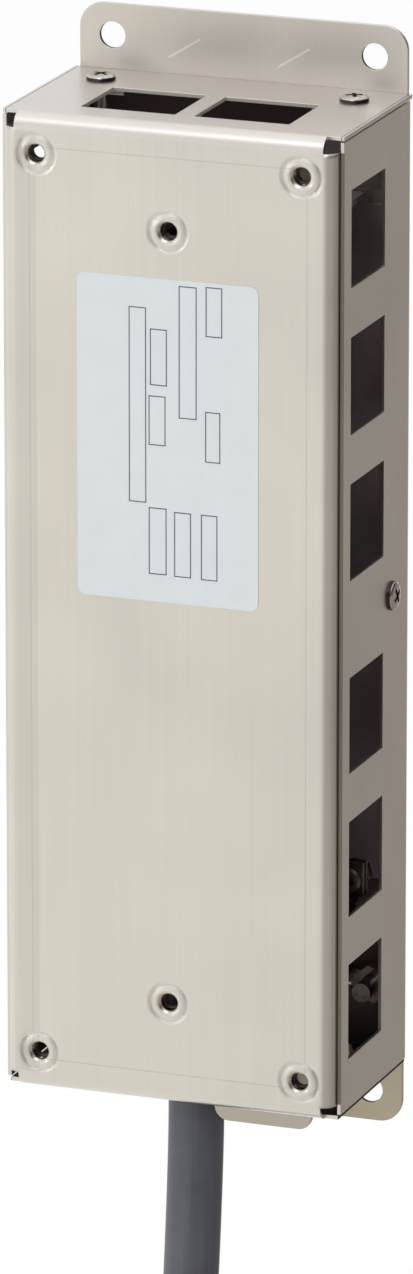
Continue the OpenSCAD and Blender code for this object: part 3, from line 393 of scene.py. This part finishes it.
def painted_edge_reflections(tree, place, tone):
    """The tone with the painted reflections of the window edges, pale strokes on the upper tab."""
    for x, z in PAINTED_REFLECTION_PLACES:
        off = put(tree, "ShaderNodeVectorMath", {0: place, 1: (x * MM, TAB_FRONT * MM, z * MM)},
                  operation="SUBTRACT").outputs[0]
        level = put(tree, "ShaderNodeVectorRotate", {"Vector": off, "Angle": PAINTED_REFLECTION_LEAN},
                    rotation_type="Y_AXIS").outputs[0]
        mask = within(tree, level, [-h for h in PAINTED_REFLECTION_HALF], PAINTED_REFLECTION_HALF)
        share = put(tree, "ShaderNodeMath", {0: mask, 1: PAINTED_REFLECTION_SHARE}, operation="MULTIPLY").outputs[0]
        tone = put(tree, "ShaderNodeMix", {FACTOR: share, COLOUR_A: tone, COLOUR_B: linear("ffffff")},
                   data_type="RGBA").outputs[COLOUR_OUT]
    return tone


def rolled_stainless(colours):
    """Bright-rolled stainless sheet: the eye sees soft mirror images, faint streaks along the rolling, bright
    rounded edges, soft rings and glossy mouths at the front holes, and dull grey shear cuts. Painted shade
    darkens the inside faces, the mouths a little, the bores, hole walls, gaps and parts of the front and
    tabs;
    a paler band of painted light lies on the back wall, and painted reflections of window edges on the upper
    tab."""
    material, tree, shader, place = start_material("bright_rolled_stainless", METAL)
    mirrored = put(tree, "ShaderNodeVectorMath", {0: place}, operation="ABSOLUTE").outputs[0]
    drawn = put(tree, "ShaderNodeMapping", {"Vector": place, "Scale": LINE_SQUEEZE}).outputs["Vector"]
    lines = put(tree, "ShaderNodeTexNoise", {
        "Vector": drawn, "Scale": 1 / (LINE_WIDTH * MM), "Detail": 4.0, "Roughness": 0.6}).outputs["Fac"]
    cloud = put(tree, "ShaderNodeTexNoise", {
        "Vector": place, "Scale": 1 / (SHEET_CLOUD * MM), "Detail": 2.0}).outputs["Fac"]
    both = put(tree, "ShaderNodeMath", {0: lines, 1: LINE_SHARE, 2: cloud},
               operation="MULTIPLY_ADD").outputs[0]
    share = put(tree, "ShaderNodeMapRange", {"Value": both, **span("From", SHEET_DRIFT)}).outputs["Result"]
    tone = put(tree, "ShaderNodeMix", {
        FACTOR: share, COLOUR_A: linear("d7d3ce"), COLOUR_B: linear(colours.sheet)},
        data_type="RGBA").outputs[COLOUR_OUT]
    rough = put(tree, "ShaderNodeMapRange", {
        "Value": both, **span("From", SHEET_DRIFT), **span("To", SHEET_ROUGH)}).outputs["Result"]
    tone, rough = marked(tree, place, tone, rough, SHEET_MARKS_AND_PAINTED_LIGHT)
    tone = painted_edge_reflections(tree, place, tone)
    mouths = near_holes(tree, mirrored, MOUTH_FADE)
    tone, rough = tinted(tree, mouths, tone, rough, MOUTH_PAINTED_SHADE, MOUTH_ROUGH)
    rings = near_holes(tree, mirrored, RING_FADE)
    soft = put(tree, "ShaderNodeMapRange", {
        "Value": rings, **span("To", (EDGE_SOFT * MM, RING_SOFT * MM))}).outputs["Result"]
    bends = within(tree, mirrored, *LONG_BENDS)
    soft = put(tree, "ShaderNodeMath", {0: bends, 1: BEND_SOFT * MM, 2: soft},
               operation="MULTIPLY_ADD").outputs[0]
    edges = put(tree, "ShaderNodeBevel", {"Radius": soft}, samples=8)
    connect(tree, shader, tone, rough, edges.outputs["Normal"])
    return material


def dress(material, *nodes):
    """Gives CAD nodes their finish."""
    for node in nodes:
        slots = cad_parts[node].material_slots
        if not slots:
            raise RuntimeError("no material slot on " + node)
        for slot in slots:
            slot.material = material


def new_piece(name, mesh, material, stands_for=()):
    """Adds a finished mesh as a piece that rides with the case. A grown mesh has its material already."""
    piece = bpy.data.objects.new(name, mesh)
    bpy.context.scene.collection.objects.link(piece)
    if material:
        mesh.materials.clear()
        mesh.materials.append(material)
    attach(piece, "root")
    if stands_for:
        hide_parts(*stands_for)
    return piece


def geometry_tree(name, inputs):
    """A new geometry tree with its points and the named float inputs, and its input sockets."""
    tree = bpy.data.node_groups.new(name, "GeometryNodeTree")
    tree.interface.new_socket("Points", in_out="INPUT", socket_type="NodeSocketGeometry")
    for label in inputs:
        tree.interface.new_socket(label, in_out="INPUT", socket_type="NodeSocketFloat")
    tree.interface.new_socket("Mesh", in_out="OUTPUT", socket_type="NodeSocketGeometry")
    return tree, put(tree, "NodeGroupInput").outputs


def repeat_at_points(tree, points, shape, material):
    """Ends a geometry tree: the shape at each point, made real, with its material."""
    dots = put(tree, "GeometryNodeMeshToPoints", {"Mesh": points})
    copies = put(tree, "GeometryNodeInstanceOnPoints", {"Points": dots.outputs[0], "Instance": shape})
    real = put(tree, "GeometryNodeRealizeInstances", {0: copies.outputs[0]})
    dressed = put(tree, "GeometryNodeSetMaterial", {"Geometry": real.outputs[0], "Material": material})
    put(tree, "NodeGroupOutput", {"Mesh": dressed.outputs[0]})


def grow(name, tree, values, points):
    """The plain mesh that a geometry tree makes at the points, in millimetres, with its inputs set."""
    seeds = bpy.data.meshes.new(name + "_points")
    seeds.from_pydata([Vector(p) * MM for p in points], [], [])
    host = bpy.data.objects.new(name + "_host", seeds)
    bpy.context.scene.collection.objects.link(host)
    modifier = host.modifiers.new(name, "NODES")
    modifier.node_group = tree
    for item in tree.interface.items_tree:
        if item.name in values:
            modifier[item.identifier] = values[item.name]
    mesh = bpy.data.meshes.new_from_object(host.evaluated_get(bpy.context.evaluated_depsgraph_get()))
    host.modifiers.remove(modifier)
    bpy.data.objects.remove(host)
    if not mesh.polygons:
        raise RuntimeError("nothing grown for " + name)
    return mesh


def curve_points(route, steps):
    """The route with steps added on a smooth curve through its points."""
    points = []
    for i in range(len(route) - 1):
        a, b = route[max(i - 1, 0)], route[i]
        c, d = route[i + 1], route[min(i + 2, len(route) - 1)]
        for k in range(steps):
            t = k / steps
            points.append(0.5 * (2 * b + (c - a) * t + (2 * a - 5 * b + 4 * c - d) * t ** 2
                                 + (3 * b - a - 3 * c + d) * t ** 3))
    points.append(route[-1])
    return points


def swept_tube(name, points, radius, sides):
    """A closed tube along the points, with a UV map whose U runs round it and V along it in metres."""
    mesh = bpy.data.meshes.new(name)
    work = bmesh.new()
    uv = work.loops.layers.uv.new("along")
    rings, lengths, travelled = [], [], 0.0
    side = Vector((0, 1, 0))
    for i, p in enumerate(points):
        ahead = (points[min(i + 1, len(points) - 1)] - points[max(i - 1, 0)]).normalized()
        side = (side - side.dot(ahead) * ahead).normalized()
        other = ahead.cross(side)
        if i:
            travelled += (p - points[i - 1]).length
        lengths.append(travelled)
        rings.append([work.verts.new(p + radius * (math.cos(2 * math.pi * k / sides) * side
                                                   + math.sin(2 * math.pi * k / sides) * other))
                      for k in range(sides)])
    for i in range(len(rings) - 1):
        for k in range(sides):
            face = work.faces.new((rings[i][k], rings[i][(k + 1) % sides],
                                   rings[i + 1][(k + 1) % sides], rings[i + 1][k]))
            face.smooth = True
            for loop, (u, v) in zip(face.loops, ((k, i), (k + 1, i), (k + 1, i + 1), (k, i + 1))):
                loop[uv].uv = (u / sides, lengths[v])
    for ring in (rings[0][::-1], rings[-1]):
        work.faces.new(ring)
    bmesh.ops.recalc_face_normals(work, faces=work.faces)
    work.to_mesh(mesh)
    work.free()
    return mesh


class RESISTOR_OT_stage(bpy.types.Operator):
    """Set the camera, the pale floor, the studio light and the surroundings"""

    bl_idname = "resistor.stage"
    bl_label = "Stage"

    def execute(self, context):
        level = math.cos(CAMERA_PITCH)
        back = Vector((math.sin(CAMERA_YAW) * level, -math.cos(CAMERA_YAW) * level, math.sin(CAMERA_PITCH)))
        camera = bpy.data.objects.new("camera", bpy.data.cameras.new("camera"))
        camera.data.sensor_width = CAMERA_SENSOR
        camera.data.lens = CAMERA_LENS
        camera.location = Vector(CAMERA_AIM) * MM + back * context.scene.resistor_sizes.camera_distance
        camera.rotation_mode = "QUATERNION"
        camera.rotation_quaternion = (-back).to_track_quat("-Z", "Y")
        context.scene.collection.objects.link(camera)
        context.scene.camera = camera
        context.scene.view_settings.view_transform = "Standard"
        self.make_world(context)
        self.make_floor(context)
        self.make_lamps(context)
        return {"FINISHED"}

    def make_world(self, context):
        """Pale surroundings: light from the left and above, dark towards the right."""
        world = bpy.data.worlds.new("studio")
        world.use_nodes = True
        tree = world.node_tree
        look = put(tree, "ShaderNodeTexCoord").outputs["Generated"]
        way = put(tree, "ShaderNodeSeparateXYZ", {0: look}).outputs
        right = put(tree, "ShaderNodeMapRange", {"Value": way["X"], **span("From", SKY_RIGHT)},
                    interpolation_type="SMOOTHSTEP").outputs["Result"]
        low = put(tree, "ShaderNodeMapRange", {"Value": way["Z"], **span("From", SKY_LOW)}).outputs["Result"]
        dark = put(tree, "ShaderNodeMath", {0: right, 1: low}, operation="MULTIPLY").outputs[0]
        up = put(tree, "ShaderNodeMapRange", {"Value": way["Z"], **span("From", SKY_RISE)}).outputs["Result"]
        pale = put(tree, "ShaderNodeMix", {FACTOR: up, COLOUR_A: SKY_PALE, COLOUR_B: SKY_BRIGHT},
                   data_type="RGBA").outputs[COLOUR_OUT]
        level = put(tree, "ShaderNodeMix", {FACTOR: dark, COLOUR_A: pale, COLOUR_B: SKY_DARK},
                    data_type="RGBA").outputs[COLOUR_OUT]
        tree.links.new(level, tree.nodes["Background"].inputs["Color"])
        tree.nodes["Background"].inputs["Strength"].default_value = 1.0
        context.scene.world = world

    def make_floor(self, context):
        """A wide floor under the hanging lead, white in front and on the left, greyer round to the right as
        painted shade.
        """
        lowest = CAD_BOX[0].z - FLOOR_DROP
        mesh = bpy.data.meshes.new("floor")
        corners = [(-1, -1), (1, -1), (1, 1), (-1, 1)]
        mesh.from_pydata([(x * FLOOR_HALF, y * FLOOR_HALF, lowest) for x, y in corners], [], [(0, 1, 2, 3)])
        floor = bpy.data.objects.new("floor", mesh)
        context.scene.collection.objects.link(floor)
        mesh.materials.append(self.floor_paint())

    def floor_paint(self):
        """Matt paint that lies evenly lit to the eye and in the bright sheet, grey round to the right as
        painted shade, and still takes the shadow.
        """
        material, tree, shader, place = start_material("pale_floor_paint")
        spot = put(tree, "ShaderNodeSeparateXYZ", {0: place}).outputs
        front = put(tree, "ShaderNodeMath", {0: spot["Y"], 1: -1.0}, operation="MULTIPLY").outputs[0]
        bearing = put(tree, "ShaderNodeMath", {0: spot["X"], 1: front}, operation="ARCTAN2").outputs[0]
        greys, darkens, whitens = [
            put(tree, "ShaderNodeMapRange", {"Value": bearing, **span("From", ends)},
                interpolation_type="SMOOTHSTEP").outputs["Result"]
            for ends in (FLOOR_GREYS, FLOOR_DARKENS, FLOOR_WHITENS)]
        right = put(tree, "ShaderNodeMath", {0: greys, 1: whitens}, operation="MULTIPLY").outputs[0]
        # Grey round to the right: painted shade, mirrored by the sheet's right side.
        grey = put(tree, "ShaderNodeMix", {
            FACTOR: darkens, COLOUR_A: linear("bcb6b1"), COLOUR_B: linear("a49e97")},
            data_type="RGBA").outputs[COLOUR_OUT]
        ahead = put(tree, "ShaderNodeMapRange", {
            "Value": spot["Y"], **span("From", FLOOR_WARMS)}).outputs["Result"]
        white = put(tree, "ShaderNodeMix", {
            FACTOR: ahead, COLOUR_A: linear("ffffff"), COLOUR_B: linear("f8f8ef")},
            data_type="RGBA").outputs[COLOUR_OUT]
        tone = put(tree, "ShaderNodeMix", {FACTOR: right, COLOUR_A: white, COLOUR_B: grey},
                   data_type="RGBA").outputs[COLOUR_OUT]
        rays = put(tree, "ShaderNodeLightPath").outputs
        seen = rays["Is Camera Ray"]
        for other in ("Is Glossy Ray", "Is Transmission Ray"):
            seen = put(tree, "ShaderNodeMath", {0: seen, 1: rays[other]}, operation="MAXIMUM").outputs[0]
        share = put(tree, "ShaderNodeMath", {0: seen, 1: FLOOR_GLOW}, operation="MULTIPLY").outputs[0]
        paint = put(tree, "ShaderNodeBsdfDiffuse", {"Color": tone}).outputs[0]
        glow = put(tree, "ShaderNodeEmission", {"Color": tone, "Strength": 1.0}).outputs[0]
        mixed = put(tree, "ShaderNodeMixShader", {0: share, 1: paint, 2: glow}).outputs[0]
        tree.links.new(mixed, tree.nodes["Material Output"].inputs["Surface"])
        tree.nodes.remove(shader)
        return material

    def make_lamps(self, context):
        """A low soft lamp from the left, a wide one from above in front, a fill for the dull pieces, and a
        small lamp that only glints in the bright metal."""
        for name, spot, size, watts, mirrored, lights_dull in LAMPS:
            data = bpy.data.lights.new(name, "AREA")
            data.shape = "DISK"
            data.size = size
            data.energy = watts
            lamp = bpy.data.objects.new(name, data)
            lamp.location = spot
            lamp.rotation_mode = "QUATERNION"
            lamp.rotation_quaternion = (-lamp.location).to_track_quat("-Z", "Y")
            lamp.visible_glossy = mirrored
            lamp.visible_diffuse = lights_dull
            context.scene.collection.objects.link(lamp)


class RESISTOR_OT_flying_lead(bpy.types.Operator):
    """Lay the jacketed lead that hangs from the case"""

    bl_idname = "resistor.flying_lead"
    bl_label = "Flying lead"

    def execute(self, context):
        sizes, colours = context.scene.resistor_sizes, context.scene.resistor_colours
        points = curve_points([Vector((x, LEAD_DEPTH, z)) * MM for x, z in LEAD_ROUTE], LEAD_STEPS)
        mesh = swept_tube("flying_lead", points, sizes.lead_diameter / 2, LEAD_SIDES)
        lead = new_piece("flying_lead", mesh, self.jacket(colours), ["supply_cable"])
        return {"FINISHED"}

    def jacket(self, colours):
        """Extruded grey PVC: dull skin with fine lines along the lead and a cloudy tone."""
        material, tree, shader, place = start_material("grey_pvc_jacket", PVC)
        along = put(tree, "ShaderNodeUVMap", uv_map="along").outputs["UV"]
        drawn = put(tree, "ShaderNodeMapping", {"Vector": along, "Scale": JACKET_LINES}).outputs["Vector"]
        lines = put(tree, "ShaderNodeTexNoise", {
            "Vector": drawn, "Scale": 1.0, "Detail": 3.0}).outputs["Fac"]
        cloud = put(tree, "ShaderNodeTexNoise", {
            "Vector": place, "Scale": 1 / (JACKET_CLOUD * MM), "Detail": 3.0}).outputs["Fac"]
        both = put(tree, "ShaderNodeMath", {0: lines, 1: cloud}, operation="ADD").outputs[0]
        share = put(tree, "ShaderNodeMapRange", {
            "Value": both, **span("From", JACKET_DRIFT)}).outputs["Result"]
        tone = put(tree, "ShaderNodeMix", {
            FACTOR: share, COLOUR_A: linear("454851"), COLOUR_B: linear(colours.jacket)},
            data_type="RGBA").outputs[COLOUR_OUT]
        rough = put(tree, "ShaderNodeMapRange", {
            "Value": both, **span("From", JACKET_DRIFT), **span("To", JACKET_ROUGH)}).outputs["Result"]
        raised = put(tree, "ShaderNodeBump", {
            "Height": both, "Strength": 0.35, "Distance": JACKET_BUMP * MM}).outputs["Normal"]
        tone, rough = marked(tree, place, tone, rough, LEAD_PAINTED_SHADE)
        connect(tree, shader, tone, rough, raised)
        return material


class RESISTOR_OT_case(bpy.types.Operator):
    """Finish the folded sheet case and cut the threads of its front holes"""

    bl_idname = "resistor.case"
    bl_label = "Sheet case"

    def execute(self, context):
        dress(rolled_stainless(context.scene.resistor_colours), "back_tray", "front_cover")
        self.cut_threads(context.scene.resistor_sizes.thread_pitch)
        return {"FINISHED"}

    def cut_threads(self, pitch):
        """Turns of thread in the drawn holes."""
        # Tapped and left oily: dark, with a dull glint on the turns.
        steel = speckled("cut_thread_steel", ("6b6560", "524d49"), 0.5, (0.35, 0.5), values=METAL)
        tree, given = geometry_tree("thread_turns", ("Radius", "Depth", "Turns", "Crest"))
        helix = put(tree, "GeometryNodeCurveSpiral", {
            "Resolution": 32, "Rotations": given["Turns"], "Start Radius": given["Radius"],
            "End Radius": given["Radius"], "Height": given["Depth"]})
        crest = put(tree, "GeometryNodeCurvePrimitiveCircle", {"Resolution": 6, "Radius": given["Crest"]})
        turns = put(tree, "GeometryNodeCurveToMesh", {
            "Curve": helix.outputs[0], "Profile Curve": crest.outputs[0], "Fill Caps": True})
        inward = put(tree, "GeometryNodeTransform", {
            "Geometry": turns.outputs[0], "Rotation": (-math.pi / 2, 0, 0)})
        repeat_at_points(tree, given["Points"], inward.outputs[0], steel)
        mesh = grow("thread_turns", tree, {
            "Radius": THREAD_RADIUS * MM, "Depth": THREAD_DEPTH * MM, "Turns": THREAD_DEPTH * MM / pitch,
            "Crest": CREST_SHARE * pitch}, [(x, THREAD_START, z) for x, z in THREAD_PLACES])
        new_piece("thread_turns", mesh, None)


class RESISTOR_OT_label(bpy.types.Operator):
    """Finish the blank label and print its empty fields"""

    bl_idname = "resistor.label"
    bl_label = "Label"

    def execute(self, context):
        colours = context.scene.resistor_colours
        # Cast polyester film: smooth, cool white, with a faint sheen.
        film = speckled("white_label_film", (colours.label, "d5dce1"), 6, (0.42, 0.5), bump=0.004,
                        values={"IOR": 1.5})
        dress(film, "rating_label")
        # Thermal print: matt, greyish violet lines that aren't quite even.
        ink = speckled("printed_ink", (colours.ink, "4a4658"), 0.8, (0.5, 0.6), values={"IOR": 1.5})
        self.print_fields(context.scene.resistor_sizes.field_line, ink)
        return {"FINISHED"}

    def print_fields(self, line, ink):
        """Thin frames a hundredth of a millimetre proud of the film."""
        mesh = bpy.data.meshes.new("label_fields")
        work = bmesh.new()
        face_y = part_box("rating_label")[0].y
        w = line / MM
        for x0, x1, z0, z1 in LABEL_FIELDS:
            outer = [(x0, z0), (x1, z0), (x1, z1), (x0, z1)]
            inner = [(x0 + w, z0 + w), (x1 - w, z0 + w), (x1 - w, z1 - w), (x0 + w, z1 - w)]
            low_out, low_in, top_out, top_in = [
                [work.verts.new((x * MM, face_y - proud * MM, z * MM)) for x, z in ring]
                for proud in (0.0, INK_PROUD) for ring in (outer, inner)]
            for i in range(4):
                j = (i + 1) % 4
                work.faces.new((top_out[i], top_out[j], top_in[j], top_in[i]))
                work.faces.new((low_out[i], low_out[j], top_out[j], top_out[i]))
                work.faces.new((low_in[j], low_in[i], top_in[i], top_in[j]))
                work.faces.new((low_out[j], low_out[i], low_in[i], low_in[j]))
        bmesh.ops.recalc_face_normals(work, faces=work.faces)
        work.to_mesh(mesh)
        work.free()
        new_piece("label_fields", mesh, ink)


class RESISTOR_OT_inside(bpy.types.Operator):
    """Finish the resistor tubes, their windings and carrier"""

    bl_idname = "resistor.inside"
    bl_label = "Tubes and windings"

    def execute(self, context):
        # Brushed on and baked: dark, dull and grainy.
        dark = context.scene.resistor_colours.cement
        cement = speckled("silicone_cement", (dark, "5b5250"), 1.6, (0.7, 0.9), bump=0.12, detail=5,
                          values={"IOR": 1.45})
        self.wind(context.scene.resistor_sizes.wire_turns, cement)
        # Pressed and fired bare: creamy and matt, with a fine grit.
        steatite = speckled("unglazed_steatite", ("ddd6c8", "cfc7b6"), 1.2, (0.6, 0.75), bump=0.03, detail=5,
                            values={"IOR": 1.6})
        dress(steatite, "ceramic_tube_left", "ceramic_tube_right", "end_bushes")
        # Sprayed thinly on steel: an even, warm grey with a soft skin.
        lacquer = speckled("grey_lacquered_sheet", ("c3b7ba", "b7abae"), 7, (0.5, 0.65), bump=0.01,
                           values={"IOR": 1.5})
        dress(lacquer, "element_carrier")
        # Galvanised sheet: cloudy and hardly bright, darkened to a dark grey as painted shade inside the
        # case.
        zinc = speckled("zinc_sheet_painted_shade", ("6f6a66", "5e5955"), 5, (0.4, 0.52), bump=0.01,
                        values=METAL)
        dress(zinc, "cable_bracket", "cable_saddle")
        # Plated strip after some heat: warm dark grey with a low sheen.
        nickel = speckled("nickel_plated_band", ("6b645c", "565049"), 2, (0.4, 0.52), bump=0.008,
                          values=METAL)
        dress(nickel, "upper_bands", "lower_bands")
        # Tinned thinly by dipping: silvery, with the copper's warmth coming through.
        copper = speckled("tinned_copper_strap", ("c9b39a", "b99a7b"), 2.5, (0.3, 0.42), bump=0.01,
                          values=METAL)
        dress(copper, "series_link")
        # Bare steel that ran hot: brown, patchy and half bright.
        browned = speckled("heat_browned_steel", ("6b6058", "4f4742"), 1.5, (0.38, 0.52), bump=0.01,
                           values=METAL)
        dress(browned, "band_screws", "rod_nuts", "power_lugs")
        # Pressed in a hot mould: deep brown, with a slight gloss and fine mottling.
        phenolic = speckled("moulded_phenolic", ("4a2c1c", "3a2216"), 1.5, (0.4, 0.55), bump=0.02,
                            values={"IOR": 1.6})
        dress(phenolic, "thermal_switch")
        # Stamped and left bare: yellow and fairly bright.
        brass = speckled("plain_brass", ("c9a860", "b8944a"), 1.5, (0.28, 0.4), bump=0.008, values=METAL)
        dress(brass, "switch_tabs")
        return {"FINISHED"}

    def wind(self, turns, cement):
        """Flat wire in even turns on a thin cemented bed over each tube, all under one dark coat."""
        boxes = [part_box("winding_left"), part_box("winding_right")]
        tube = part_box("ceramic_tube_left")
        spread = boxes[0][1] - boxes[0][0]
        outer, bed, sink = spread.x / 2, BED_RADIUS * MM, WIRE_SINK * MM
        core = (tube[1].x - tube[0].x) / 2 + BED_GAP * MM
        width = WIRE_SHARE * spread.z / turns
        tree, given = geometry_tree("cemented_winding", (
            "Turns", "Wire middle", "Wire depth", "Wire width", "Wire start", "Wire run", "Bed middle",
            "Bed depth", "Bed length"))
        helix = put(tree, "GeometryNodeCurveSpiral", {
            "Resolution": 48, "Rotations": given["Turns"], "Start Radius": given["Wire middle"],
            "End Radius": given["Wire middle"], "Height": given["Wire run"]})
        helix = put(tree, "GeometryNodeSetCurveNormal", {"Curve": helix.outputs[0]}, mode="Z_UP")
        section = put(tree, "GeometryNodeCurvePrimitiveQuadrilateral", {
            "Width": given["Wire depth"], "Height": given["Wire width"]})
        wire = put(tree, "GeometryNodeCurveToMesh", {
            "Curve": helix.outputs[0], "Profile Curve": section.outputs[0], "Fill Caps": True})
        start = put(tree, "ShaderNodeCombineXYZ", {"Z": given["Wire start"]})
        wire = put(tree, "GeometryNodeTransform", {
            "Geometry": wire.outputs[0], "Translation": start.outputs[0]})
        ring = put(tree, "GeometryNodeCurvePrimitiveCircle", {
            "Resolution": 64, "Radius": given["Bed middle"]})
        section = put(tree, "GeometryNodeCurvePrimitiveQuadrilateral", {
            "Width": given["Bed depth"], "Height": given["Bed length"]})
        sleeve = put(tree, "GeometryNodeCurveToMesh", {
            "Curve": ring.outputs[0], "Profile Curve": section.outputs[0]})
        whole = put(tree, "GeometryNodeJoinGeometry")
        for part in (wire, sleeve):
            tree.links.new(part.outputs[0], whole.inputs[0])
        repeat_at_points(tree, given["Points"], whole.outputs[0], cement)
        mesh = grow("windings", tree, {
            "Turns": float(turns), "Wire middle": (outer + bed) / 2 - sink, "Wire depth": outer - bed + sink,
            "Wire width": width, "Wire start": (width - spread.z) / 2, "Wire run": spread.z - width,
            "Bed middle": (bed + core) / 2, "Bed depth": bed - core, "Bed length": spread.z},
            [(low + high) / 2 / MM for low, high in boxes])
        new_piece("windings", mesh, None, ["winding_left", "winding_right"])


class RESISTOR_OT_fasteners(bpy.types.Operator):
    """Finish the screws, rods, stud and its nut"""

    bl_idname = "resistor.fasteners"
    bl_label = "Fasteners"

    def execute(self, context):
        # Rolled steel, zinc plated and polished by the plating: bright heads, their dark flanks a painted
        # reflection.
        steel = speckled("bright_zinc_screw", ("cfccc8", "bdb9b4"), 0.9, (0.16, 0.28), bump=0.006,
                         marks=SCREW_PAINTED_REFLECTIONS, values=METAL)
        dress(steel, "top_cover_screws", "bottom_cover_screws", "side_carrier_screws", "tie_rod_left",
              "tie_rod_right", "saddle_screws", "earth_stud", "earth_nut")
        return {"FINISHED"}


class RESISTOR_OT_wiring(bpy.types.Operator):
    """Finish the cores, earth lug, ferrules, grommet and tie"""

    bl_idname = "resistor.wiring"
    bl_label = "Wiring"

    def execute(self, context):
        # Extruded PVC: smooth skins with a slight gloss.
        for shade, pair, *nodes in (
                ("brown", ("5a3522", "4c2b1a"), "lead_power_a", "free_core_a"),
                ("blue", ("1f3f96", "183278"), "lead_power_b", "free_core_b"),
                ("black", ("1c1c1d", "131314"), "lead_switch_a", "free_core_d"),
                ("white", ("dcdcd6", "cfcfc8"), "lead_switch_b", "free_core_e")):
            skin = speckled(shade + "_pvc_core", pair, 1.4, (0.35, 0.48), bump=0.015, values=PVC)
            dress(skin, *nodes)
        dress(self.striped_core(), "lead_earth", "free_core_c")
        # Moulded rubber: black, matt and slightly dusty.
        rubber = speckled("black_grommet_rubber", ("1b1b1c", "242425"), 1.2, (0.6, 0.75), bump=0.02,
                          values={"IOR": 1.52})
        dress(rubber, "cable_grommet")
        # Injection-moulded nylon: black with a satin skin.
        nylon = speckled("black_tie_nylon", ("17171a", "212125"), 1.0, (0.4, 0.52), bump=0.012,
                         values={"IOR": 1.53})
        dress(nylon, "cable_tie")
        # Tinned by dipping: silvery and fairly bright.
        tin = speckled("tinned_copper", ("cdcbc6", "b7b4ae"), 1.0, (0.26, 0.38), bump=0.008, values=METAL)
        dress(tin, "earth_lug", "core_ferrules")
        return {"FINISHED"}

    def striped_core(self):
        """Extruded green PVC with a broad yellow stripe along it."""
        material, tree, shader, place = start_material("green_yellow_pvc_core", PVC)
        bands = put(tree, "ShaderNodeTexWave", {
            "Vector": place, "Scale": 2 * math.pi / (WAVE_RADIANS * STRIPE_APART * MM), "Distortion": 0.4},
            bands_direction="X").outputs["Fac"]
        edge = put(tree, "ShaderNodeMapRange", {
            "Value": bands, **span("From", STRIPE_EDGE)}).outputs["Result"]
        tone = put(tree, "ShaderNodeMix", {
            FACTOR: edge, COLOUR_A: linear("2f7a35"), COLOUR_B: linear("d8c92c")},
            data_type="RGBA").outputs[COLOUR_OUT]
        tree.links.new(tone, shader.inputs["Base Color"])
        shader.inputs["Roughness"].default_value = 0.42
        return material


class RESISTOR_PT_looks(bpy.types.Panel):
    """Lists the steps that dress the part"""

    bl_label = "Braking resistor"
    bl_idname = "RESISTOR_PT_looks"
    bl_space_type = "VIEW_3D"
    bl_region_type = "UI"
    bl_category = "Resistor"

    def draw(self, context):
        for group in (context.scene.resistor_sizes, context.scene.resistor_colours):
            for name in group.__annotations__:
                self.layout.prop(group, name)
        for step in STEPS:
            self.layout.operator(step.bl_idname)


STEPS = (
    RESISTOR_OT_stage, RESISTOR_OT_flying_lead, RESISTOR_OT_case, RESISTOR_OT_label, RESISTOR_OT_inside,
    RESISTOR_OT_fasteners, RESISTOR_OT_wiring,
)
CLASSES = (ResistorSizes, ResistorColours) + STEPS + (RESISTOR_PT_looks,)


def register():
    for cls in CLASSES:
        bpy.utils.register_class(cls)
    bpy.types.Scene.resistor_sizes = bpy.props.PointerProperty(type=ResistorSizes)
    bpy.types.Scene.resistor_colours = bpy.props.PointerProperty(type=ResistorColours)


def unregister():
    del bpy.types.Scene.resistor_colours
    del bpy.types.Scene.resistor_sizes
    for cls in reversed(CLASSES):
        bpy.utils.unregister_class(cls)


def main():
    register()
    for step in STEPS:
        group, name = step.bl_idname.split(".")
        getattr(getattr(bpy.ops, group), name)()


if __name__ == "__main__":
    main()
